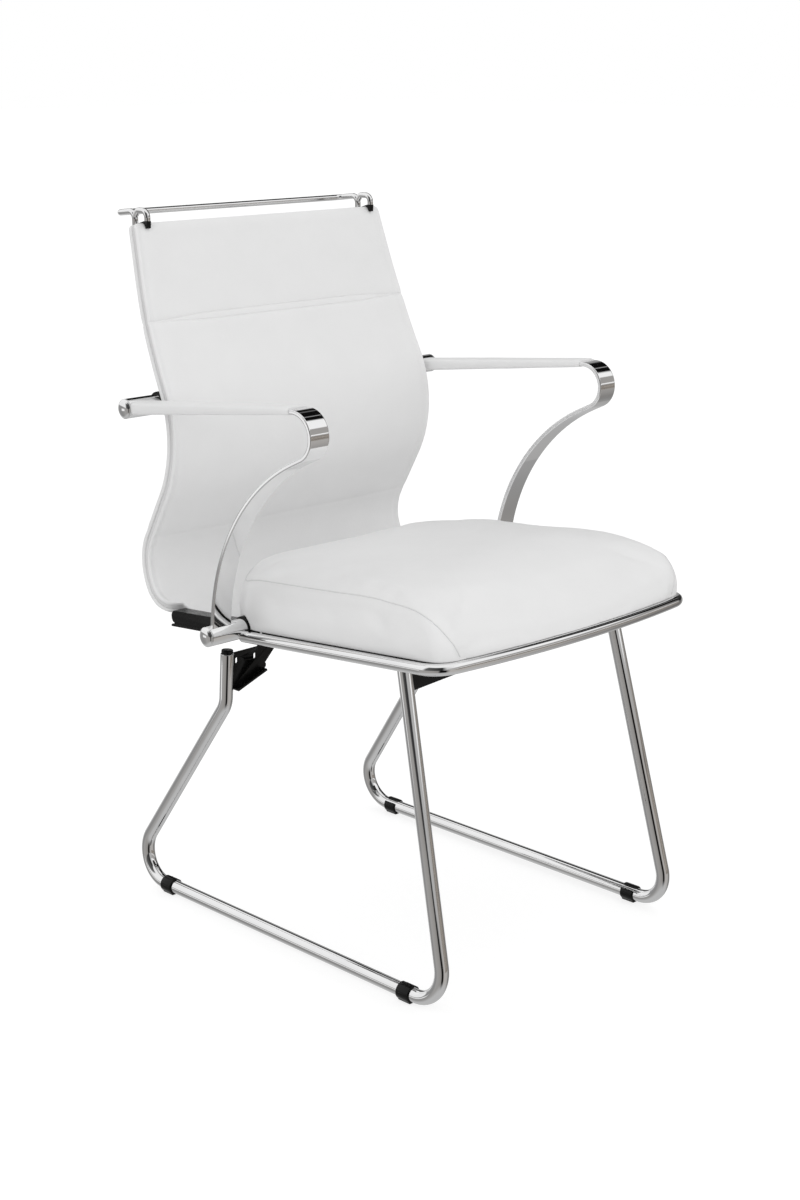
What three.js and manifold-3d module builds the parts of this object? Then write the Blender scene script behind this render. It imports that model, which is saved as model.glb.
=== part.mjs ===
// A sled base visitor chair: two chromed sled side frames, a tube hoop round the seat, two cross tubes,
// flat bar arms with padded sleeves, an upholstered curved back, a loose seat cushion and a coat hanger
// rail on top of the back. Millimetres, +Z up, front towards -Y, the sitter's left towards +X.
import * as THREE from 'three';
import * as BufferGeometryUtils from 'three/addons/utils/BufferGeometryUtils.js';
import Module from 'manifold-3d';

const wasm = await Module();
wasm.setup();

// Shared
const GAP = 0.3; // between pieces that touch
const OVERRUN = 40; // how far a cutting tool runs past what it cuts
const SMALL_EDGE = 1.2; // softened edge of moulded pieces
const BEND_STEP_DEG = 11; // longest turn of one facet along a bend
const QUARTER_SHARES = [0, 0.25, 0.5, 0.75, 1];
const QUARTER_TURN_DEGS = [0, 30, 60, 90];
const HALVINGS = 40; // of the search for a height along the back

// Sides of the round pieces
const SLED_SIDES = 14;
const ROD_SIDES = 28;
const HOOP_SIDES = 12;
const WIRE_SIDES = 10;
const CAP_SIDES = 20;
const PLUG_SIDES = 16;
const BORE_SIDES = 12;
const SCREW_SIDES = 8;
const ARC_STEPS = 12; // of the clamp hooks

// Sled side frames. y is measured from the front corner of the runner, h up from the runner's middle
const SLED_TUBE_D = 18;
const SLED_HALF_WIDTH = 216; // middle plane of the chair to the runner's middle
const SLED_LEAN_SHARE = 0.06; // inward lean per unit of height
const FRONT_LEG_RAKE_SHARE = 0.241; // rearward lean of the front leg per unit of height
const REAR_LEG_RAKE_SHARE = 0.694; // forward lean of the rear leg per unit of height
const RUNNER_LEN = 619.4; // corner to corner
const SLED_BEND_R = 41;
const KNEE_BEND_R = 34;
const KNEE_H = 283.3;
const REAR_LEG_TOP_DOWN = 75.4; // below the middle of the hoop's front
const FRONT_LEG_TOP_H = 402.5;
const PLUG_FLANGE_D = 15.6;
const PLUG_FLANGE_LEN = 5.3;
const PLUG_STEM_D = 11;
const PLUG_STEM_LEN = 12;

// Glides clipped on the runners
const GLIDE_SOLE = 2.5; // plastic under the tube
const GLIDE_LEN = 20;
const GLIDE_WALL = 2.3;
const GLIDE_SOLE_HALF = 6;
const GLIDE_REAR_INSET = 1; // from the start of the rear bend
const GLIDE_FRONT_INSET = 5; // from the end of the front bend
const GLIDE_SLOT_DEG = 36;
const GLIDE_SLOT_AT_DEG = 58; // above the inward horizontal

// Seat hoop and seat plane
const HOOP_TUBE_D = 14.8;
const HOOP_HALF_WIDTH = 229.5;
const HOOP_FRONT_Z = 439.5; // tube middle above the floor at the front corner
const HOOP_FRONT_Y = 1.2;
const HOOP_BOW = 16.4; // how far the front bows out in the middle
const HOOP_CORNER_R = 26.8;
const HOOP_BOW_STEPS = 8;
const SEAT_SLOPE_DEG = 4.82;

// Cross tubes
const ROD_D = 25.4;
const LOWER_ROD_Y = 359.1;
const LOWER_ROD_Z = 417.2;
const LOWER_ROD_HALF = 285.2;
const UPPER_ROD_Y = 516;
const UPPER_ROD_Z = 685.8;
const UPPER_ROD_HALF = 281.5;
const CAP_RIM_LEN = 1.6;
const CAP_DOME = 4.2;

// Arms
const BAR_WIDTH = 30;
const BAR_THICK = 5.5;
const BAR_MIDDLE_X = 259.7;
const ARM_RISE_DEG = 6.36; // of the straight top run
const ARM_TOP_LEN = 316;
const NOSE_R = 28.9;
const NOSE_DROP_DEG = 25; // below level, where the nose ends
const NOSE_RUN = 17.2;
const ARM_LAND_FORE = 3.6; // bar foot ahead of the lower tube's middle
const PAD_WIDTH = 35;
const PAD_TOP_REAR = 8.6; // above the bar's middle
const PAD_TOP_FRONT = 6.4;
const PAD_UNDER_REAR = 8.4;
const PAD_UNDER_FRONT = 4;
const PAD_FRONT_SET_BACK = 3; // pad end behind the start of the nose
const PAD_ROUND = 4;
const PAD_ROUND_SHARE = 0.36; // largest round, of the pad's height
const PAD_STOP_SHARES = [0, 0.06, 0.5, 0.9, 0.97, 0.992, 1];
const PAD_SWELL_SHARES = [1, 1, 1, 1, 0.97, 0.9, 0.8];

// Back, drawn as one line from the seat tongue to the top edge
const BACK_START_Y = 383;
const BACK_START_Z = 412.6;
const TONGUE_LEN = 87.7;
const SEAT_BEND_R = 67.5;
const SEAT_BEND_DEG = 124.2;
const HIP_RUN = 69.8;
const LUMBAR_R = 152.2;
const LUMBAR_DEG = 55.2;
const LUMBAR_RUN = 12.3;
const SHOULDER_R = 824;
const SHOULDER_DEG = 9.7;
const TOP_RUN = 64.2;
const CORE_THICK = 6;
const COVER_THICK = 5.5; // each of the two padded skins
const CORE_INSET = 3.5; // groove between the two piped edges
const NECK_LEN = 123; // narrow tongue between the side brackets, measured along the back
const BACK_HALF_WIDTH = 232.6;
const TOP_ROUND_LEN = 14; // front skin rolls over at the top
const TOP_ROUND_CORNER = 6; // side corner of the top edge
const TOP_ROUND_SHARES = [1, 0.64, 0.32, 0.1];
const COVER_EDGE_SHARES = [0.3, 0.7]; // where the side of a skin bulges
const SEAM_DEPTH = 1.4;
const SEAM_HALF = 2.6;
const SEAM_HEIGHTS = [512.5, 784.7, 790.3];
const STRAIGHT_STEP = 62;
// Pairs of length share past the neck and half width share of the widest place
const BACK_WIDTH_SHARES = [
  [0.006, 0.925], [0.02, 0.973], [0.045, 0.997], [0.11, 0.994], [0.25, 1], [0.42, 1],
  [0.6, 0.996], [0.76, 0.979], [0.88, 0.953], [1, 0.927],
];

// Side brackets that tie the tongue to the lower cross tube
const BRACKET_OUT_X = 221.8;
const BRACKET_IN_X = 203;
const BRACKET_DOWN = 2; // below the hoop plane
const BRACKET_UP = 15; // above the hoop plane
const EYE_WALL = 2.2;
const LIP_WIDTH = 22;
const LIP_THICK = 3;
const LIP_START_AFTER_ROD = 24;
const LIP_OVERHANG = 1.5; // past the tail of the bar
const LIP_GROOVE = 0.8; // between the bar and the lip
const BRACKET_TAIL_ROUND = 6;
const BRACKET_SCREW_SHARES = [0.24, 0.7]; // along the lip

// Clamps of the upper cross tube
const CLAMP_OUT_X = 224;
const CLAMP_WIDTH = 24;
const CLAMP_WALL = 3;
const CLAMP_TAB_LEN = 26;
const CLAMP_FROM_DEG = 146;
const CLAMP_TO_DEG = -50;

// Seat board, hoop tabs, rails and cross plates
const BOARD_THICK = 12;
const BOARD_REAR_Y = 341;
const BOARD_CORNER_R = 34;
const TAB_LEN = 22;
const TAB_REACH = 24;
const TAB_THICK = 3;
const TAB_FRONT_Y = 62;
const TAB_REAR_Y = 286;
const RAIL_X = 111;
const RAIL_WEB = 3;
const RAIL_DEPTH = 16;
const RAIL_FLANGE = 25;
const BOLT_FRONT_Y = 125;
const BOLT_REAR_Y = 305;
const PLATE_THICK = 3;
const FRONT_PLATE_DOWN = 14.5; // top edge below the hoop's front
const FRONT_PLATE_DEPTH = 40.6;
const FRONT_PLATE_MID_DEPTH = 35;
const FRONT_PLATE_STEP_X = 100;
const REAR_PLATE_DOWN = 41.9; // top edge of the middle below the hoop's front
const REAR_PLATE_MID_DEPTH = 15.1;
const REAR_PLATE_SIDE_DOWN = 0.9; // ears below the top of the rear legs
const REAR_PLATE_SIDE_DEPTH = 50.8;
const REAR_PLATE_STEP_X = 143;
const REAR_PLATE_BOSS_X = 134.2;
const REAR_PLATE_BOSS_DOWN = 28; // below the top of the ears
const REAR_PLATE_BOSS_R = 5;
const REAR_PLATE_BOSS_DEGS = [-75, -115, -155, -195, -225];
const REAR_PLATE_LIP = 10;
const REAR_PLATE_CORNER = 8;
const SLOT_W = 4.6;
const SLOT_H = 8.4;
const SLOT_OUT_X = 180;
const SLOT_IN_X = 148.6;
const SLOT_DOWN = 11.6; // below the top of the ears

// Fasteners
const BOLT_D = 8;
const BOLT_HEAD_AF = 13;
const BOLT_HEAD_H = 5.3;
const SCREW_D = 5;
const SCREW_HEAD_D = 9.5;
const SCREW_HEAD_H = 2.8;
const SCREW_REACH = 5; // thread in what is held
const HOLE_PLAY = 0.3; // on the radius

// Seat cushion, in the hoop's own plane
const CUSHION_HALF_WIDTH = 228;
const CUSHION_FRONT_Y = -4;
const CUSHION_FRONT_BOW = 16;
const CUSHION_REAR_Y = 434;
const CUSHION_FRONT_CORNER = 27;
const CUSHION_REAR_CORNER = 104;
const SEAM_NOSE = 19; // seam height at the very front
const SEAM_RISE = 57;
const WATERFALL_LEN = 43;
const CROWN = 15;
const CUSHION_CENTRE_Y = 215;
const SEAM_SHARE = 0.962; // plan size at the seam
const PIPE_SHARE = 0.972; // plan size at the piping
const PIPE_H = 2.4;
const CROWN_POWER = 2.4;
const CROWN_SHARES = [0.9, 0.78, 0.6, 0.4, 0.2];
const CUSHION_BOW_STEPS = 5;
const CUSHION_FRONT_DEGS = [30, 60, 90];
const CUSHION_REAR_DEGS = [20, 40, 60, 80];
const CUSHION_SIDE_SHARES = [0.14, 0.34, 0.6, 0.8, 1];
const CUSHION_REAR_SHARES = [0.6, 0.3, 0];
// Plan share and share of the way from the underside to the seam
const CUSHION_WALL_SHARES = [[0.5, 0], [0.986, 0], [0.996, 0.12], [1, 0.4], [0.985, 0.78]];

// Hanger rail
const WIRE_D = 8;
const WIRE_X = 198;
const RAIL_REACH = 36.7; // rail behind its legs
const RAIL_BEND_R = 9.5;
const RAIL_UP = 11.1; // heights above and below the top of the back
const RAIL_ARM_UP = 15.4;
const RAIL_FOOT_DOWN = 18.3;
const PRONG_START_UP = 8.9;
const PRONG_TOP_UP = 16.5;
const PRONG_RISE = 6; // how far the prong leans forward while it rises
const PRONG_REACH = 25.6; // its foot ahead of the rail's legs
const PRONG_RISE_R = 6;
const PRONG_FOOT_R = 9;
const CLIP_WIDTH = 6.8;
const CLIP_PLATE = 1.6;
const CLIP_DROP = 34;
const CLIP_SHELF = 7;
const CLIP_BOSS_UP = 2.6;
const CLIP_FOOT_DROP = 8.5;
const CLIP_FOOT_OUT = 11.6;
const CLIP_FOOT_IN = 9.1;
const CLIP_SHOULDER_IN = 8.3;
const CLIP_SHOULDER_DOWN = 3.5;
const CLIP_EDGE_IN = 5.2;
const CLIP_BOSS_HALF = 3.3;
const CLIP_SCREW_D = 2.5;
const CLIP_SCREW_HEAD_D = 5.6;
const CLIP_SCREW_HEAD_H = 1.4;
const CLIP_SCREW_SHARE = 0.82; // of the drop, down the rear plate

// Worked out from the sizes above
const SLED_R = SLED_TUBE_D / 2;
const RUNNER_Z = GLIDE_SOLE + SLED_R;
const REAR_LEG_TOP_H = HOOP_FRONT_Z - RUNNER_Z - REAR_LEG_TOP_DOWN;
const HOOP_R = HOOP_TUBE_D / 2;
const ROD_R = ROD_D / 2;
const WIRE_R = WIRE_D / 2;
const EYE_R = ROD_R + GAP + EYE_WALL;
const BOARD_TOP = HOOP_R; // the board lies level with the top of the hoop
const BOARD_DOWN = BOARD_THICK - BOARD_TOP; // underside below the hoop plane
const CUSHION_UNDER = BOARD_TOP + GAP;
const rad = THREE.MathUtils.degToRad;
const SEAT_SLOPE = rad(SEAT_SLOPE_DEG);
const HALF_CORE = CORE_THICK / 2;
const COVER_IN = HALF_CORE + GAP;
const COVER_OUT = COVER_IN + COVER_THICK;
const FRONT_PLATE_TOP_Z = HOOP_FRONT_Z - FRONT_PLATE_DOWN;
const FRONT_PLATE_LOW_Z = FRONT_PLATE_TOP_Z - FRONT_PLATE_DEPTH;
const FRONT_PLATE_MID_Z = FRONT_PLATE_TOP_Z - FRONT_PLATE_MID_DEPTH;
const REAR_PLATE_MID_TOP_Z = HOOP_FRONT_Z - REAR_PLATE_DOWN;
const REAR_PLATE_MID_LOW_Z = REAR_PLATE_MID_TOP_Z - REAR_PLATE_MID_DEPTH;
const REAR_PLATE_SIDE_TOP_Z = RUNNER_Z + REAR_LEG_TOP_H - REAR_PLATE_SIDE_DOWN;
const REAR_PLATE_LOW_Z = REAR_PLATE_SIDE_TOP_Z - REAR_PLATE_SIDE_DEPTH;
const REAR_PLATE_BOSS_Z = REAR_PLATE_SIDE_TOP_Z - REAR_PLATE_BOSS_DOWN;
const SLOT_Z = REAR_PLATE_SIDE_TOP_Z - SLOT_DOWN;
const SIDES = { right: -1, left: 1 };

// Materials
function paint(color, roughness, metalness) {
  return new THREE.MeshStandardMaterial({ color, roughness, metalness });
}

const CHROME = () => paint(0xd9dbde, 0.08, 1);
const BLACK_STEEL = () => paint(0x17181a, 0.45, 0.6);
const BLACK_PLASTIC = () => paint(0x141415, 0.5, 0);
const LEATHERETTE = () => paint(0xe9e9e8, 0.55, 0);
const PLYWOOD = () => paint(0x1d1b19, 0.6, 0);
const ZINC = () => paint(0xa7abb0, 0.35, 1);

// Solids
function solidOf(geometry) {
  const bare = geometry.clone();
  bare.deleteAttribute('normal');
  bare.deleteAttribute('uv');
  const merged = BufferGeometryUtils.mergeVertices(bare);
  const vertProperties = new Float32Array(merged.attributes.position.array);
  const triVerts = new Uint32Array(merged.index.array);
  return new wasm.Manifold(new wasm.Mesh({ numProp: 3, vertProperties, triVerts }));
}

function geometryOf(solid) {
  const mesh = solid.getMesh();
  const geometry = new THREE.BufferGeometry();
  geometry.setAttribute('position', new THREE.BufferAttribute(new Float32Array(mesh.vertProperties), 3));
  geometry.setIndex(new THREE.BufferAttribute(new Uint32Array(mesh.triVerts), 1));
  geometry.computeVertexNormals();
  return geometry;
}

function cut(geometry, ...tools) {
  let solid = solidOf(geometry);
  for (const tool of tools) {
    solid = solid.subtract(solidOf(tool));
  }
  return geometryOf(solid);
}

function join(...pieces) {
  let solid = solidOf(pieces[0]);
  for (const piece of pieces.slice(1)) {
    solid = solid.add(solidOf(piece));
  }
  return geometryOf(solid);
}

function mirrored(geometry) {
  const copy = geometry.clone().scale(-1, 1, 1);
  const index = copy.index ? copy.index.array.slice() : null;
  if (index) {
    for (let i = 0; i < index.length; i += 3) {
      [index[i], index[i + 1]] = [index[i + 1], index[i]];
    }
    copy.setIndex(new THREE.BufferAttribute(index, 1));
    return copy;
  }
  return geometryOf(solidOf(BufferGeometryUtils.mergeVertices(geometry)).mirror([1, 0, 0]));
}

// A line through given points, whose facets lie exactly at those points
class Route extends THREE.Curve {
  constructor(points) {
    super();
    this.points = points;
  }

  getPointAt(u, target = new THREE.Vector3()) {
    const last = this.points.length - 1;
    const place = u * last;
    const i = Math.min(Math.floor(place), last - 1);
    return target.lerpVectors(this.points[i], this.points[i + 1], place - i);
  }

  getTangentAt(u, target = new THREE.Vector3()) {
    const last = this.points.length - 1;
    const i = Math.round(u * last);
    const before = this.points[Math.max(i - 1, 0)];
    const here = this.points[i];
    const after = this.points[Math.min(i + 1, last)];
    const arriving = here.clone().sub(before).normalize();
    const leaving = after.clone().sub(here).normalize();
    return target.copy(arriving).add(leaving).normalize();
  }
}

// Corner points with a bend radius each become straight runs and round bends
function bentPoints(corners, radii) {
  const points = [corners[0].clone()];
  for (let i = 1; i < corners.length - 1; i += 1) {
    const corner = corners[i];
    const back = corners[i - 1].clone().sub(corner).normalize();
    const ahead = corners[i + 1].clone().sub(corner).normalize();
    const half = back.angleTo(ahead) / 2;
    const radius = radii[i - 1];
    const start = corner.clone().addScaledVector(back, radius / Math.tan(half));
    const toCentre = back.clone().add(ahead).normalize();
    const centre = corner.clone().addScaledVector(toCentre, radius / Math.sin(half));
    const first = start.clone().sub(centre).normalize();
    const second = back.clone().negate();
    const turn = Math.PI - 2 * half;
    const steps = Math.max(1, Math.ceil(turn / rad(BEND_STEP_DEG)));
    for (let k = 0; k <= steps; k += 1) {
      const angle = (turn * k) / steps;
      const point = centre.clone();
      point.addScaledVector(first, radius * Math.cos(angle));
      point.addScaledVector(second, radius * Math.sin(angle));
      points.push(point);
    }
  }
  points.push(corners[corners.length - 1].clone());
  return points;
}

function tube(points, radius, sides) {
  const circle = new THREE.Shape();
  circle.absarc(0, 0, radius, 0, Math.PI * 2);
  const settings = {
    curveSegments: sides / 2,
    steps: points.length - 1,
    bevelEnabled: false,
    extrudePath: new Route(points),
  };
  return new THREE.ExtrudeGeometry(circle, settings);
}

// An outline in the side plane, points [y, z], run across from x0 to x1
function slab(outline, x0, x1) {
  const shape = new THREE.Shape(outline.map(([y, z]) => new THREE.Vector2(y, z)));
  const geometry = new THREE.ExtrudeGeometry(shape, { depth: x1 - x0, bevelEnabled: false });
  const across = new THREE.Vector3(1, 0, 0);
  const along = new THREE.Vector3(0, 1, 0);
  const up = new THREE.Vector3(0, 0, 1);
  geometry.applyMatrix4(new THREE.Matrix4().makeBasis(along, up, across));
  return geometry.translate(x0, 0, 0);
}

// An outline in the front plane, points in x and z, run rearwards by a thickness from y
function standingPlate(shape, y, thickness) {
  const settings = { depth: thickness, bevelEnabled: false, curveSegments: 8 };
  const geometry = new THREE.ExtrudeGeometry(shape, settings);
  geometry.rotateX(Math.PI / 2);
  return geometry.translate(0, y + thickness, 0);
}

function rodAlongX(radius, half, y, z, sides) {
  const geometry = new THREE.CylinderGeometry(radius, radius, half * 2, sides);
  geometry.rotateZ(Math.PI / 2);
  return geometry.translate(0, y, z);
}

// Rings of equal length joined into one closed skin with flat ends
function loft(rings) {
  const count = rings[0].length;
  const positions = [];
  const index = [];
  rings.flat().forEach((p) => positions.push(p.x, p.y, p.z));
  for (let r = 0; r + 1 < rings.length; r += 1) {
    for (let i = 0; i < count; i += 1) {
      const a = r * count + i;
      const b = r * count + ((i + 1) % count);
      index.push(a, b, a + count, b, b + count, a + count);
    }
  }
  for (const [ring, first] of [[rings[0], true], [rings[rings.length - 1], false]]) {
    const centre = new THREE.Vector3();
    ring.forEach((p) => centre.add(p));
    centre.divideScalar(count);
    const hub = positions.length / 3;
    positions.push(centre.x, centre.y, centre.z);
    const base = first ? 0 : (rings.length - 1) * count;
    for (let i = 0; i < count; i += 1) {
      const a = base + i;
      const b = base + ((i + 1) % count);
      index.push(...(first ? [hub, b, a] : [hub, a, b]));
    }
  }
  const geometry = new THREE.BufferGeometry();
  geometry.setAttribute('position', new THREE.Float32BufferAttribute(positions, 3));
  geometry.setIndex(index);
  return outward(geometry);
}

// Turns a closed skin the right way out
function outward(geometry) {
  const p = geometry.attributes.position;
  const index = geometry.index.array;
  const [a, b, c] = [new THREE.Vector3(), new THREE.Vector3(), new THREE.Vector3()];
  let volume = 0;
  for (let i = 0; i < index.length; i += 3) {
    a.fromBufferAttribute(p, index[i]);
    b.fromBufferAttribute(p, index[i + 1]);
    c.fromBufferAttribute(p, index[i + 2]);
    volume += a.dot(b.cross(c));
  }
  if (volume < 0) {
    for (let i = 0; i < index.length; i += 3) {
      [index[i], index[i + 1]] = [index[i + 1], index[i]];
    }
  }
  return geometry;
}

// A line in the side plane made of straight runs and round turns
class SideLine {
  constructor(y, z, headingDeg, pieces) {
    this.start = { y, z, heading: rad(headingDeg) };
    this.pieces = pieces;
    this.length = pieces.reduce((sum, piece) => sum + SideLine.lengthOf(piece), 0);
  }

  static lengthOf(piece) {
    return piece.run !== undefined ? piece.run : piece.radius * Math.abs(rad(piece.turn));
  }

  static step({ y, z, heading }, piece, distance) {
    if (piece.run !== undefined) {
      return { y: y + distance * Math.cos(heading), z: z + distance * Math.sin(heading), heading };
    }
    const way = Math.sign(piece.turn);
    const next = heading + (way * distance) / piece.radius;
    return {
      y: y + way * piece.radius * (Math.sin(next) - Math.sin(heading)),
      z: z - way * piece.radius * (Math.cos(next) - Math.cos(heading)),
      heading: next,
    };
  }

  at(s) {
    let place = this.start;
    let left = s;
    for (const piece of this.pieces) {
      const length = SideLine.lengthOf(piece);
      if (left <= length) {
        return SideLine.step(place, piece, left);
      }
      place = SideLine.step(place, piece, length);
      left -= length;
    }
    const lastPiece = { run: left };
    return SideLine.step(place, lastPiece, left);
  }

  // Distances along the line at which its facets meet
  stops(straightStep) {
    const list = [0];
    let s = 0;
    for (const piece of this.pieces) {
      const length = SideLine.lengthOf(piece);
      const isTurn = piece.run === undefined;
      const parts = isTurn ? Math.abs(piece.turn) / BEND_STEP_DEG : length / straightStep;
      const steps = Math.max(1, Math.ceil(parts));
      for (let k = 1; k <= steps; k += 1) {
        list.push(s + (length * k) / steps);
      }
      s += length;
    }
    return list;
  }

  // The point beside the line at s, positive to the right of the way it runs
  beside(s, offset) {
    const { y, z, heading } = this.at(s);
    return [y + offset * Math.sin(heading), z - offset * Math.cos(heading)];
  }
}

// World side plane to the tilted plane of the seat hoop
function toSeat(y, z) {
  const dz = z - HOOP_FRONT_Z;
  return [
    y * Math.cos(SEAT_SLOPE) - dz * Math.sin(SEAT_SLOPE),
    y * Math.sin(SEAT_SLOPE) + dz * Math.cos(SEAT_SLOPE),
  ];
}

const chair = new THREE.Group();
const seat = new THREE.Group();
seat.position.z = HOOP_FRONT_Z;
seat.rotation.x = -SEAT_SLOPE;
chair.add(seat);

function add(group, name, geometry, material) {
  const mesh = new THREE.Mesh(geometry, material());
  mesh.name = name;
  group.add(mesh);
  return mesh;
}

// Sled side frames
function sledPoint(side, y, h) {
  return new THREE.Vector3(side * (SLED_HALF_WIDTH - SLED_LEAN_SHARE * h), y, RUNNER_Z + h);
}

const KNEE_Y = RUNNER_LEN - REAR_LEG_RAKE_SHARE * KNEE_H;

function sledTube(side, radius) {
  const corners = [
    sledPoint(side, FRONT_LEG_RAKE_SHARE * FRONT_LEG_TOP_H, FRONT_LEG_TOP_H),
    sledPoint(side, 0, 0),
    sledPoint(side, RUNNER_LEN, 0),
    sledPoint(side, KNEE_Y, KNEE_H),
    sledPoint(side, KNEE_Y, REAR_LEG_TOP_H),
  ];
  return tube(bentPoints(corners, [SLED_BEND_R, SLED_BEND_R, KNEE_BEND_R]), radius, SLED_SIDES);
}

// A turned piece standing on the line from base towards tip, from a profile of [radius, height]
function turned(profile, base, tip, sides) {
  const points = profile.map(([r, h]) => new THREE.Vector2(r, h));
  const geometry = new THREE.LatheGeometry(points, sides);
  const way = tip.clone().sub(base).normalize();
  const turn = new THREE.Quaternion().setFromUnitVectors(new THREE.Vector3(0, 1, 0), way);
  geometry.applyQuaternion(turn);
  return geometry.translate(base.x, base.y, base.z);
}

function makeSled(name, side) {
  const top = sledPoint(side, KNEE_Y, REAR_LEG_TOP_H);
  const below = sledPoint(side, KNEE_Y, KNEE_H);
  const above = top.clone().add(top.clone().sub(below));
  const bore = [
    [0, -PLUG_STEM_LEN - GAP], [PLUG_STEM_D / 2 + GAP, -PLUG_STEM_LEN - GAP],
    [PLUG_STEM_D / 2 + GAP, OVERRUN], [0, OVERRUN],
  ];
  const frame = cut(sledTube(side, SLED_R), turned(bore, top, above, BORE_SIDES));
  add(chair, `sled_frame_${name}`, frame, CHROME);

  const flange = PLUG_FLANGE_D / 2;
  const stem = PLUG_STEM_D / 2;
  const profile = [
    [0, -PLUG_STEM_LEN], [stem, -PLUG_STEM_LEN], [stem, GAP], [flange, GAP],
    [flange, PLUG_FLANGE_LEN - SMALL_EDGE], [flange - SMALL_EDGE, PLUG_FLANGE_LEN], [0, PLUG_FLANGE_LEN],
  ];
  add(chair, `leg_plug_${name}`, turned(profile, top, above, PLUG_SIDES), BLACK_PLASTIC);
}

// Glides: a clip round the runner with a flat sole and a slot on the inner upper side
function makeGlide(name, side, y) {
  const inner = SLED_R + GAP;
  const outer = SLED_R + GLIDE_WALL;
  const from = rad(GLIDE_SLOT_AT_DEG + GLIDE_SLOT_DEG / 2);
  const soleLeft = Math.PI + Math.acos(1 - GLIDE_WALL / outer);
  const soleRight = 3 * Math.PI - soleLeft;
  const to = 2 * Math.PI + rad(GLIDE_SLOT_AT_DEG - GLIDE_SLOT_DEG / 2);
  const shape = new THREE.Shape();
  shape.absarc(0, 0, outer, from, soleLeft, false);
  shape.lineTo(-GLIDE_SOLE_HALF, -RUNNER_Z);
  shape.lineTo(GLIDE_SOLE_HALF, -RUNNER_Z);
  shape.absarc(0, 0, outer, soleRight, to, false);
  shape.absarc(0, 0, inner, to, from, true);
  const settings = { depth: GLIDE_LEN, bevelEnabled: false, curveSegments: 9 };
  const geometry = new THREE.ExtrudeGeometry(shape, settings);
  geometry.rotateX(Math.PI / 2);
  geometry.translate(0, GLIDE_LEN / 2, 0);
  const placed = side < 0 ? geometry : mirrored(geometry);
  const mesh = add(chair, name, placed, BLACK_PLASTIC);
  mesh.position.set(side * SLED_HALF_WIDTH, y, RUNNER_Z);
}

function bendTangent(rake) {
  const turn = Math.PI / 2 + Math.atan(rake);
  return SLED_BEND_R * Math.tan(turn / 2);
}

for (const [name, side] of Object.entries(SIDES)) {
  makeSled(name, side);
  const rearY = RUNNER_LEN - bendTangent(REAR_LEG_RAKE_SHARE) - GLIDE_REAR_INSET - GLIDE_LEN / 2;
  const frontY = bendTangent(FRONT_LEG_RAKE_SHARE) + GLIDE_FRONT_INSET + GLIDE_LEN / 2;
  makeGlide(`glide_rear_${name}`, side, rearY);
  makeGlide(`glide_front_${name}`, side, frontY);
}

// Cross tubes with domed end caps
function makeRod(name, y, z, half) {
  const tubeHalf = half - CAP_RIM_LEN - CAP_DOME - GAP;
  add(chair, `${name}_cross_tube`, rodAlongX(ROD_R, tubeHalf, y, z, ROD_SIDES), CHROME);
  const dome = QUARTER_SHARES.map((share) => {
    const angle = (share * Math.PI) / 2;
    return [(ROD_R - SMALL_EDGE) * Math.cos(angle), CAP_RIM_LEN + CAP_DOME * Math.sin(angle)];
  });
  dome[dome.length - 1][0] = 0;
  const profile = [[0, 0], [ROD_R, 0], [ROD_R, CAP_RIM_LEN], ...dome];
  for (const [sideName, side] of Object.entries(SIDES)) {
    const base = new THREE.Vector3(side * (tubeHalf + GAP), y, z);
    const tip = base.clone().add(new THREE.Vector3(side, 0, 0));
    add(chair, `${name}_tube_cap_${sideName}`, turned(profile, base, tip, CAP_SIDES), CHROME);
  }
}

makeRod('lower', LOWER_ROD_Y, LOWER_ROD_Z, LOWER_ROD_HALF);
makeRod('upper', UPPER_ROD_Y, UPPER_ROD_Z, UPPER_ROD_HALF);
const lowerRodTool = () => rodAlongX(ROD_R + GAP, LOWER_ROD_HALF, LOWER_ROD_Y, LOWER_ROD_Z, ROD_SIDES);
const upperRodTool = () => rodAlongX(ROD_R + GAP, UPPER_ROD_HALF, UPPER_ROD_Y, UPPER_ROD_Z, ROD_SIDES);

// Seat hoop: a bowed front, two corners and two sides that end on the lower cross tube
const [ROD_SEAT_Y, ROD_SEAT_Z] = toSeat(LOWER_ROD_Y, LOWER_ROD_Z);

function hoopPoints() {
  const cornerX = HOOP_HALF_WIDTH - HOOP_CORNER_R;
  const endY = ROD_SEAT_Y;
  const points = [];
  const bowAt = (x) => HOOP_FRONT_Y - HOOP_BOW * (1 - (x / cornerX) ** 2);
  const slope = (2 * HOOP_BOW) / cornerX;
  const turn = Math.PI / 2 - Math.atan(slope);
  for (let i = -HOOP_BOW_STEPS; i <= HOOP_BOW_STEPS; i += 1) {
    const x = (cornerX * i) / HOOP_BOW_STEPS;
    points.push(new THREE.Vector3(x, bowAt(x), 0));
  }
  const steps = Math.ceil(turn / rad(BEND_STEP_DEG));
  const start = Math.atan(slope);
  const radius = HOOP_CORNER_R / (1 - Math.sin(start));
  const corner = [];
  for (let k = 1; k <= steps; k += 1) {
    const angle = start + (turn * k) / steps;
    const x = cornerX + radius * (Math.sin(angle) - Math.sin(start));
    const y = HOOP_FRONT_Y + radius * (Math.cos(start) - Math.cos(angle));
    corner.push(new THREE.Vector3(x, y, 0));
  }
  corner.push(new THREE.Vector3(HOOP_HALF_WIDTH, endY, 0));
  const mirror = corner.map((p) => new THREE.Vector3(-p.x, p.y, p.z)).reverse();
  return [...mirror, ...points, ...corner];
}

const rodInSeat = () => rodAlongX(ROD_R + GAP, LOWER_ROD_HALF, ROD_SEAT_Y, ROD_SEAT_Z, ROD_SIDES);
add(seat, 'seat_hoop', cut(tube(hoopPoints(), HOOP_R, HOOP_SIDES), rodInSeat()), CHROME);

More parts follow.
